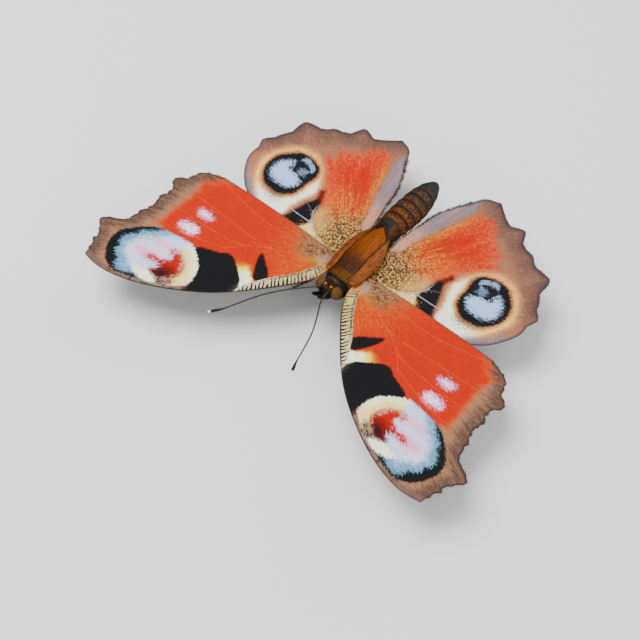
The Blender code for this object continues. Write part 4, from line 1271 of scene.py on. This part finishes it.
def tegula_rings():
    """The flap of long scales over a wing root, clear of the body and wavy along its outer edge."""
    shares = (1 - np.cos(np.linspace(0.02, 0.98, TEGULA_ROWS) * math.pi)) / 2
    rings = []
    for share in shares:
        y = TEGULA[0] + (TEGULA[1] - TEGULA[0]) * share
        middle, half_width, half_height = body_at(y)
        full = float(np.interp(share, *TEGULA_WIDTH))
        centre = (TEGULA_INNER_DEG + TEGULA_OUTER_DEG) / 2 - TEGULA_DRIFT_DEG * share**2
        spread = (TEGULA_OUTER_DEG - TEGULA_INNER_DEG) / 2 * full
        ring = []
        for turn in np.linspace(0, 2 * math.pi, TEGULA_SIDES, endpoint=False):
            outward = math.cos(turn)
            wave = TEGULA_WAVE_DEG * full * math.sin(TEGULA_WAVES * share) * max(0.0, outward)
            angle = math.radians(centre + spread * outward + wave)
            lift = 0.5 + 0.5 * math.sin(turn)
            out = TEGULA_GAP + TEGULA_DEPTH * lift * (0.35 + 0.65 * full)
            out *= 0.8 + 0.2 * outward
            across, up = (half_width + out) * math.sin(angle), (half_height + out) * math.cos(angle)
            ring.append((across, y, middle + up))
        rings.append(ring)
    return np.array(rings)


def joined(name, pieces):
    """Several finished objects made one."""
    with bpy.context.temp_override(
        active_object=pieces[0], object=pieces[0], selected_objects=pieces, selected_editable_objects=pieces
    ):
        bpy.ops.object.join()
    pieces[0].name = name
    return pieces[0]


def place_body_piece(made, material, slot, *nodes):
    """A finished piece in its material, riding with the body in place of the nodes named."""
    made.data.materials.append(material)
    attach(made, "root")
    if nodes:
        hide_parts(*nodes)


def walking_leg(name, joints, side):
    """A walking leg: hip, thigh, shin with its spurs, five lengths of foot and two claws."""
    floor = TARSUS_RADIUS - WING_HEIGHT
    hip, bend, knee, ankle, claw = (np.array((x, y, floor if z is None else z)) for x, y, z in joints)
    pieces = []

    def tube(line, sides, step):
        strip = (len(pieces) / LEG_PIECES, (len(pieces) + 0.9) / LEG_PIECES)
        pieces.append(ring_mesh(name, tube_rings(smooth_curve(line, step), sides), side, strip))

    lengths = [(hip, bend, COXA, 18), (bend, knee, FEMUR, 18), (knee, ankle, TIBIA, 18)]
    stops = [ankle + share * (claw - ankle) for share in FOOT_SHARES]
    lengths += [(start, end, TARSUS, 14) for start, end in zip(stops, stops[1:])]
    for start, end, sections, sides in lengths:
        tube([(*(start + share * (end - start)), radius) for share, radius in sections], sides, 0.08)
    way = (claw - ankle) / np.linalg.norm(claw - ankle)
    across = np.cross(way, (0, 0, 1.0))
    claw_root, spur_root = ankle + 0.95 * (claw - ankle), ankle + 0.03 * (knee - ankle)
    for turn in (-1, 1):
        for root, sections, step in ((claw_root, CLAW, 0.03), (spur_root, SPUR, 0.05)):
            line = [
                (*(root + out * way + turn * aside * across + (0, 0, rise)), radius)
                for out, aside, rise, radius in sections
            ]
            tube(line, 8, step)
    return joined(name, pieces)


def coiled_tongue():
    """The tongue, wound in its own plane under the head."""
    turns = np.linspace(0.0, 2 * math.pi * TONGUE_TURNS, 240)
    share = turns / turns[-1]
    reach = TONGUE_RADIUS - TONGUE_THICKNESS - TONGUE_WIND * share
    across, middle, height = TONGUE_MIDDLE
    line = np.column_stack(
        [
            np.full(len(turns), across),
            middle - reach * np.sin(turns + TONGUE_START),
            height + reach * np.cos(turns + TONGUE_START),
            TONGUE_THICKNESS * (1 - TONGUE_TAPER * share),
        ]
    )
    return ring_mesh("tongue_coil", tube_rings(line, 12))


def dome(name, middle, half, side, rows, sides):
    """An ellipsoid round its own sideways axis, as a closed skin."""
    slopes = np.linspace(0.03, math.pi - 0.03, rows)
    turns = np.linspace(0, 2 * math.pi, sides, endpoint=False)
    slope, turn = np.meshgrid(slopes, turns, indexing="ij")
    shape = np.stack([np.cos(slope), np.sin(slope) * np.cos(turn), np.sin(slope) * np.sin(turn)], axis=2)
    return ring_mesh(name, np.array(middle) + shape * np.array(half), side)


def body_coat():
    """The body's skin and hair, with the colours of each part from head to tail."""
    coat = Surface("body_coat", 0.75, 0.15)
    mix, step, noise = coat.mix, coat.step, coat.noise
    x, y, z = coat.places()
    turn = coat.math("ARCTAN2", x, z + 0.1)
    side = abs(turn)
    solid = coat.vector(x, y, z)
    cell, _ = coat.cells(solid, 9.0)
    fine = noise(solid, 5.0, 3.0)
    cloud = noise(solid, 0.9, 2.0)
    strands = noise(coat.vector(turn * 9.0, y * 0.5), 1.0, 3.0)
    rough, uneven = fine - 0.5, cloud - 0.5

    # Head, neck, collar and the pad on the thorax
    head = mix(step(fine + 0.3 * (cell - 0.5), 0.35, 0.7), (45, 32, 22), (91, 63, 36))
    head = mix(step(y, -4.55, -4.85), head, (22, 22, 23))
    neck = mix(step(strands, 0.45, 0.75), (22, 22, 24), (43, 35, 29))
    collar = mix(step(strands + 0.3 * (cell - 0.5), 0.35, 0.65), (72, 44, 19), (136, 84, 26))
    front = mix(step(strands + 0.4 * rough, 0.3, 0.7), (69, 42, 27), (99, 58, 32))
    rear = mix(step(strands, 0.3, 0.7), (133, 72, 29), (180, 95, 12))
    pad = mix(step(y + 1.4 * uneven - 0.6 * side, -0.8, 2.8), front, rear)
    # painted shade: the pad's sides darker where the flaps' inner edges overlap it
    pad = mix(step(side + 0.12 * rough, 0.5, 0.75) * 0.8, pad, (89, 63, 35))

    # Abdomen: speckled rings, each dark at its rear edge
    ring = (y - ABDOMEN[0]) * (ABDOMEN_RINGS / (ABDOMEN[1] - ABDOMEN[0]))
    along = coat.math("FRACT", ring)
    speckle = step(cell + 0.6 * rough, 0.58, 0.9) * step(along, 0.02, 0.25) * step(along, 0.85, 0.5)
    ground = mix(step(y, 8.0, 14.0), (63, 39, 24), (43, 39, 33))
    ground = mix(step(fine, 0.4, 0.7) * step(along, 0.8, 0.3), ground, (87, 53, 31))
    bright = mix(step(y, 10.0, 14.5), (159, 86, 23), (99, 72, 43))
    belly = mix(speckle * step(side, 1.9, 1.3), ground, bright)
    edge = step(along + 0.2 * rough, 0.7, 0.96) * step(ring, -0.1, 0.1)
    belly = mix(edge * 0.85, belly, (33, 28, 24))
    line = step(along + 0.1 * rough, 0.17, 0.06) * step(y, 8.6, 10.6)
    belly = mix(line * 0.8, belly, (71, 78, 78))
    belly = mix(step(y + 0.6 * uneven, 13.6, 15.4), belly, (48, 54, 51))

    # Waist with a painted teal sheen on top, and the underside
    waist = mix(step(cloud + 0.4 * rough, 0.4, 0.65), (48, 36, 26), (88, 60, 33))
    # painted sheen: teal mixed over the top of the waist and the front of the abdomen only
    painted_teal_sheen = step(side + 0.4 * rough, 0.4, 0.12) * step(abs(y - 7.3) + 0.4 * uneven, 0.7, 0.15)
    waist = mix(painted_teal_sheen * 0.6, waist, (39, 59, 63))
    belly = mix(painted_teal_sheen * 0.5, belly, (39, 59, 63))
    under = mix(step(fine, 0.4, 0.7), (39, 32, 28), (60, 50, 42))

    # Where the parts meet, going back along the body
    place = y + 0.3 * rough
    flank = step(side, 0.2, 1.2)
    colour = mix(step(place + 0.22 * flank, -3.02, -2.9), head, neck)
    colour = mix(step(place - 0.3 * flank, -2.8, -2.62), colour, collar)
    colour = mix(step(place - 0.25 * side, -1.55, -1.3), colour, pad)
    colour = mix(step(place + 1.5 * side, 6.0, 6.15), colour, waist)
    colour = mix(step(y + 0.2 * rough, 7.3, 7.7), colour, belly)
    colour = mix(step(side + 0.3 * uneven, 1.75, 2.2) * step(y, -3.0, -2.0) * 0.8, colour, under)
    return coat.finish(coat.tint(colour, 1 + 0.3 * rough + 0.15 * (cell - 0.5)))


def tegula_coat():
    """Sienna scales in fine streaks, duller at the front."""
    coat = Surface("tegula_coat", 0.75, 0.15)
    x, y, z = coat.places()
    fine = coat.noise(coat.vector(x * 3.0, y * 0.8, z * 3.0), 2.0, 3.0)
    cell, _ = coat.cells(coat.vector(x, y, z), 7.0)
    colour = coat.mix(coat.step(fine, 0.3, 0.7), (105, 65, 39), (177, 95, 37))
    colour = coat.mix(coat.step(y, -0.6, -1.7) * 0.5, colour, (129, 72, 39))
    return coat.finish(coat.tint(colour, 1 + 0.25 * (fine - 0.5) + 0.15 * (cell - 0.5)))


def dark_coat():
    coat = Surface("black_scales", 0.6, 0.25)
    fine = coat.noise(coat.vector(*coat.places()), 6.0, 3.0)
    return coat.finish(coat.mix(coat.step(fine, 0.3, 0.75), (17, 17, 18), (43, 42, 42)))


def leg_coat():
    """Dark brown above and paler on the foot."""
    coat = Surface("leg_scales", 0.6, 0.25)
    x, y, z = coat.places()
    fine = coat.noise(coat.vector(x, y, z), 5.0, 3.0)
    colour = coat.mix(coat.step(z, -4.6, -3.2), (111, 88, 65), (61, 48, 38))
    return coat.finish(coat.mix(coat.step(fine, 0.35, 0.7) * 0.6, colour, (48, 37, 31)))


def eye_surface():
    """Brown with painted shade, lighter towards the top and near black below, in small facets."""
    eye = Surface("eye_facets", 0.42, 0.12)
    x, y, z = eye.places()
    solid = eye.vector(x, y, z)
    cell, gap = eye.cells(solid, 15.0, 0.35)
    cloud = eye.noise(solid, 1.2, 2.0)
    # painted shade: the brown lighter towards the top and near black on the lower side
    colour = eye.mix(eye.step(cloud + 0.25 * z, 0.3, 0.75), (59, 38, 15), (103, 68, 27))
    colour = eye.mix(eye.step(z + 0.5 * (cloud - 0.5), -0.1, -0.7), colour, (32, 23, 15))
    tone = (1.0 + 0.35 * (cell - 0.5)) * (1.0 - 0.45 * eye.step(gap, 0.35, 0.6))
    return eye.finish(eye.tint(colour, tone), 1 - gap, 0.6, 0.03)


def head_dot_surface():
    dot = Surface("head_dot", 0.5, 0.3)
    cell, gap = dot.cells(dot.vector(*dot.places()), 22.0)
    colour = dot.mix(dot.step(cell + gap, 0.3, 1.1), (173, 128, 16), (165, 88, 13))
    return dot.finish(colour, 1 - gap, 0.5, 0.02)


def tongue_surface():
    """Dark brown, ringed all along the coil."""
    tongue = Surface("tongue_brown", 0.45, 0.3)
    _, y, z = tongue.places()
    turn = tongue.math("ARCTAN2", y - TONGUE_MIDDLE[1], z - TONGUE_MIDDLE[2])
    ring = tongue.math("SINE", turn * 60.0)
    colour = tongue.mix(tongue.step(ring, -0.6, 0.8), (41, 29, 23), (71, 52, 37))
    return tongue.finish(colour, ring, 0.4, 0.01)


def wing_hair(name, dark, pale):
    """Hair of the wings, each tuft somewhere between two colours."""
    coat = Surface(name, 0.7, 0.15)
    cell, _ = coat.cells(coat.vector(*coat.places()), 4.0)
    return coat.finish(coat.mix(coat.step(cell, 0.2, 0.8), dark, pale))


def antenna_surface():
    """Black with fine pale rings, and a cream tip."""
    antenna = Surface("antenna_rings", 0.55, 0.3)
    mix, step = antenna.mix, antenna.step
    along, left = antenna.value("along"), antenna.value("left")
    share = antenna.math("FRACT", along * (1 / ANTENNA_RING))
    ringed = step(share, 0.24, 0.12) * step(left, 2.0, 2.4) * step(along, 0.5, 1.0)
    fine = antenna.noise(antenna.vector(along, left), 9.0, 2.0)
    colour = mix(ringed * 0.7, (26, 22, 23), (147, 124, 103))
    return antenna.finish(mix(step(left + 0.2 * (fine - 0.5), ANTENNA_TIP, 0.3), colour, (255, 230, 159)))


def hair_tree():
    """A coat over a bed: thin tapered tufts along the bed's lie, each a small patch on its unwrap."""
    tree = bpy.data.node_groups.new("coat_of_hair", "GeometryNodeTree")
    kinds = {"Bed": "Geometry", "Seed": "Int", "Finish": "Material"}
    keys = {}
    for name in ("Bed", "Density", "Length", "Width", "Lift", "Bend", "Seed", "Finish"):
        kind = "NodeSocket" + kinds.get(name, "Float")
        keys[name] = tree.interface.new_socket(name, in_out="INPUT", socket_type=kind).identifier
    tree.interface.new_socket("Coat", in_out="OUTPUT", socket_type="NodeSocketGeometry")
    maker = Maker(tree)
    given = {socket.name: Number(maker, socket) for socket in maker.node("NodeGroupInput").outputs}

    def stored(name, kind="FLOAT_VECTOR"):
        node = maker.node("GeometryNodeInputNamedAttribute", {"data_type": kind}, {"Name": name})
        return node.outputs[0]

    def store(geometry, name, value, kind, domain):
        settings = {"data_type": kind, "domain": domain}
        inputs = {"Geometry": geometry, "Name": name, "Value": value}
        return maker.node("GeometryNodeStoreNamedAttribute", settings, inputs).outputs[0]

    def random_number(low, high, seed):
        inputs = {2: low, 3: high, "Seed": seed}
        return Number(maker, maker.node("FunctionNodeRandomValue", {"data_type": "FLOAT"}, inputs).outputs[1])

    def scaled(vector, scale):
        inputs = {0: vector, "Scale": scale}
        return maker.node("ShaderNodeVectorMath", {"operation": "SCALE"}, inputs).outputs[0]

    def total(one, two):
        return maker.node("ShaderNodeVectorMath", {"operation": "ADD"}, {0: one, 1: two}).outputs[0]

    # Roots over the bed, each with its way out, its length and its place on the unwrap
    inputs = {"Mesh": given["Bed"], "Seed": given["Seed"]}
    inputs["Density"] = Number(maker, stored("coat", "FLOAT")) * given["Density"]
    roots = maker.node("GeometryNodeDistributePointsOnFaces", None, inputs).outputs
    lifted = scaled(roots["Normal"], given["Lift"] * random_number(0.5, 1.5, 3))
    inputs = {0: (-ASTRAY,) * 3, 1: (ASTRAY,) * 3, "Seed": 5}
    astray = maker.node("FunctionNodeRandomValue", {"data_type": "FLOAT_VECTOR"}, inputs)
    way = total(total(stored("lie"), lifted), astray.outputs[0])
    pointed = maker.node("FunctionNodeAlignRotationToVector", {"axis": "Z"}, {"Vector": way})
    rolled = maker.node(
        "FunctionNodeAlignRotationToVector",
        {"axis": "Y", "pivot_axis": "Z"},
        {"Rotation": pointed.outputs[0], "Vector": roots["Normal"]},
    )
    length = Number(maker, stored("hair", "FLOAT")) * given["Length"] * random_number(0.65, 1.25, 7)
    marked = store(roots["Points"], "root_place", stored("unwrap"), "FLOAT_VECTOR", "POINT")

    # One tuft: a thin cone of unit length, bent backwards
    inputs = {"Vertices": 3, "Side Segments": 2, "Radius Top": 0.0, "Depth": 1.0}
    inputs["Radius Bottom"] = given["Width"] / given["Length"]
    cone = maker.node("GeometryNodeMeshCone", None, inputs).outputs
    patch = store(cone["Mesh"], "patch", cone["UV Map"], "FLOAT_VECTOR", "CORNER")
    place = maker.node("GeometryNodeInputPosition").outputs[0]
    up = Number(maker, maker.node("ShaderNodeSeparateXYZ", None, {0: place}).outputs[2])
    bent = maker.node("ShaderNodeCombineXYZ", None, {"Y": given["Bend"] * (up * up) * -1.0}).outputs[0]
    curled = maker.node("GeometryNodeSetPosition", None, {"Geometry": patch, "Offset": bent})

    # The tufts made solid, each with its patch on the unwrap
    inputs = {"Points": marked, "Instance": curled.outputs[0], "Rotation": rolled.outputs[0], "Scale": length}
    tufts = maker.node("GeometryNodeInstanceOnPoints", None, inputs)
    solid = maker.node("GeometryNodeRealizeInstances", None, {"Geometry": tufts.outputs[0]})
    mapped = total(stored("root_place"), scaled(stored("patch"), PATCH_SIZE))
    kept = store(solid.outputs[0], "OFBake", mapped, "FLOAT2", "CORNER")
    for name in ("patch", "root_place", "coat", "hair", "lie"):
        kept = maker.node("GeometryNodeRemoveAttribute", None, {"Geometry": kept, "Name": name}).outputs[0]
    finished = maker.node("GeometryNodeSetMaterial", None, {"Geometry": kept, "Material": given["Finish"]})
    maker.node("NodeGroupOutput", None, {"Coat": finished.outputs[0]})
    return tree, keys


class Coats:
    """Grows each coat of hair from the same tree."""

    def __init__(self):
        self.tree, self.keys = hair_tree()

    def grow(self, name, bed, coat, hair, settings, material, slot, lie=None):
        """One coat: how thick and how long it grows is given for each point of its bed."""
        mesh = bed.data.copy()
        for key in [entry.name for entry in mesh.attributes if entry.data_type == "FLOAT"]:
            mesh.attributes.remove(mesh.attributes[key])
        for key, values in (("coat", coat), ("hair", hair)):
            add_values(mesh, key, np.broadcast_to(values, len(mesh.vertices)))
        if lie is not None:
            add_lie(mesh, lie)
        ground = linked_object(name, mesh)
        modifier = ground.modifiers.new("coat", "NODES")
        modifier.node_group = self.tree
        density, length, width, lift, bend = settings
        values = {"Density": density / MM**2, "Length": length * MM, "Width": width * MM}
        for key, value in (values | {"Lift": lift, "Bend": bend}).items():
            modifier[self.keys[key]] = float(value)
        modifier[self.keys["Seed"]] = len(name)
        modifier[self.keys["Finish"]] = material
        grown = bpy.data.meshes.new_from_object(ground.evaluated_get(bpy.context.evaluated_depsgraph_get()))
        ground.modifiers.remove(modifier)
        ground.data = grown
        bpy.data.meshes.remove(mesh)
        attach(ground, "root")


def grow_body_coats(coats, skin, rings, material):
    """The hair of the head, the shoulders and the abdomen, longest under the thorax."""
    x, y, z = rings.reshape(-1, 3).T
    middle = np.repeat(body_at(rings[:, 0, 1])[0], rings.shape[1])
    turn = np.abs(np.arctan2(x, z - middle))
    upper = ease((1.75 - turn) / 0.3)
    head = ease((y + 5.15) / 0.3) * ease((-3.25 - y) / 0.2)
    from_dot = np.hypot(np.abs(x) - HEAD_DOT[0], y - HEAD_DOT[1]) / 0.2
    head *= 1 - ease((1.1 - from_dot) / 0.3) * (z > 0)
    lie = np.stack([0.35 * x, 0.35 * (y + 4.0), 0.6 * (z + 0.2)], axis=1)
    shoulder = ease((y + 3.2) / 0.25) * ease((6.6 - y) / 0.4)
    length = np.interp(y, *SHOULDER_HAIR)
    rear = ease((y - 5.9) / 0.5) * ease((16.95 - y) / 0.15)
    face = 0.55 + 0.45 * ease(y + 4.9)
    coats.grow("head_coat", skin, head, face, HEAD_COAT, material, "fur_brown", lie)
    coats.grow("thorax_coat", skin, shoulder * upper, length, THORAX_COAT, material, "fur_gold")
    coats.grow("breast_coat", skin, shoulder * (1 - upper), length, BREAST_COAT, material, "fur_brown")
    coats.grow("abdomen_coat", skin, rear, 0.8 + 0.2 * upper, ABDOMEN_COAT, material, "fur_brown")


def ringed_antenna(name, side):
    """An antenna, a little thicker at each of its rings, with the way along it for its material."""
    line = smooth_curve(ANTENNA, 0.05)
    along = lengths_along(line[:, :3])
    ringed = (along > ANTENNA_RINGED[0]) & (along < ANTENNA_RINGED[1])
    line[:, 3] *= 1 + ANTENNA_RISE * (1 - (along / ANTENNA_RING) % 1) * ringed
    made = ring_mesh(name, tube_rings(line, ANTENNA_SIDES), side)
    add_values(made.data, "along", np.repeat(along, ANTENNA_SIDES))
    add_values(made.data, "left", np.repeat(along[-1] - along, ANTENNA_SIDES))
    return made


def coated_skin(coats, kind, side_name, rings, settings, material, slot):
    """A skin over rings, with a coat of hair all over it."""
    skin = ring_mesh(f"{kind}_{side_name}_skin", rings, SIDES[side_name])
    place_body_piece(skin, material, slot, f"{kind}_{side_name}")
    coats.grow(f"{kind}_{side_name}_coat", skin, 1.0, 1.0, settings, material, slot)


def coated_leg(coats, kind, side_name, joints, material):
    """A walking leg, its hair longest on the thigh and gone at the claws."""
    made = walking_leg(f"{kind}_{side_name}_jointed", joints, SIDES[side_name])
    place_body_piece(made, material, "leg", f"{kind}_{side_name}")
    height = np.array([point.co.z for point in made.data.vertices]) / MM - WING_HEIGHT
    long = 0.3 + 0.7 * ease(height + 4.6)
    thick = long * ease((height + 6.1) / 0.2)
    coats.grow(f"{kind}_{side_name}_coat", made, thick, long, LEG_COAT, material, "leg")


def build_body(coats):
    """Everything but the wings, from the skin of the body to the claws."""
    body, black, flap, leg = body_coat(), dark_coat(), tegula_coat(), leg_coat()
    eye, dot, antenna = eye_surface(), head_dot_surface(), antenna_surface()
    rings = body_rings()
    skin = ring_mesh("body_skin", rings)
    place_body_piece(skin, body, "fur_brown", "head", "neck", "collar", "thorax", "abdomen")
    grow_body_coats(coats, skin, rings, body)
    place_body_piece(coiled_tongue(), tongue_surface(), "tongue", "proboscis")
    flap_rings = tegula_rings()
    palp_rings = tube_rings(smooth_curve(PALP, 0.06), 20)
    foreleg_rings = tube_rings(smooth_curve(FORELEG, 0.08), 18)
    for side_name, side in SIDES.items():
        made = dome(f"eye_{side_name}_faceted", EYE_MIDDLE, EYE_HALF, side, 40, 56)
        place_body_piece(made, eye, "eye", f"eye_{side_name}")
        made = dome(f"head_dot_{side_name}", HEAD_DOT, HEAD_DOT_HALF, side, 14, 20)
        place_body_piece(made, dot, "fur_gold")
        coated_skin(coats, "tegula", side_name, flap_rings, TEGULA_COAT, flap, "fur_sienna")
        coated_skin(coats, "palp", side_name, palp_rings, PALP_COAT, black, "black_scales")
        made = ringed_antenna(f"antenna_{side_name}_ringed", side)
        place_body_piece(made, antenna, "antenna", f"antenna_{side_name}")
        coated_skin(coats, "foreleg", side_name, foreleg_rings, FORELEG_COAT, leg, "leg")
        coated_leg(coats, "midleg", side_name, MIDLEG, leg)
        coated_leg(coats, "hindleg", side_name, HINDLEG, leg)


def place_camera():
    """The camera where the photo was taken from, its axes made square to each other."""
    right, up = Vector(CAMERA_RIGHT), Vector(CAMERA_UP)
    look = up.cross(right).normalized()
    up = right.cross(look).normalized()
    right = look.cross(up).normalized()
    data = bpy.data.cameras.new("camera")
    data.lens = LENS
    data.sensor_width = SENSOR
    camera = linked_object("camera", data)
    turned = Matrix((right, up, -look)).transposed().to_4x4()
    camera.matrix_world = Matrix.Translation(Vector(to_frame([CAMERA_PLACE])[0])) @ turned
    bpy.context.scene.camera = camera


def place_floor_and_lights():
    """A plain pale floor under the feet, with soft light from three sides and from all round."""
    bpy.ops.mesh.primitive_plane_add(size=FLOOR_SIZE)
    floor = bpy.context.object
    floor.name = "floor"
    surface = Surface("pale_floor", 0.9, 0.0)
    surface.shader.inputs["Base Color"].default_value = FLOOR_COLOUR
    floor.data.materials.append(surface.material)
    for name, place, size, power in LIGHTS:
        data = bpy.data.lights.new(name, "AREA")
        data.size = size
        data.energy = power
        light = linked_object(name, data)
        light.location = place
        light.rotation_euler = (-Vector(place)).to_track_quat("-Z", "Y").to_euler()
    world = bpy.data.worlds.new("studio")
    world.use_nodes = True
    background = world.node_tree.nodes["Background"].inputs
    background["Color"].default_value = (1, 1, 1, 1)
    background["Strength"].default_value = WORLD_LIGHT
    bpy.context.scene.world = world


place_camera()
coats = Coats()
build_wings(coats)
build_body(coats)
place_floor_and_lights()
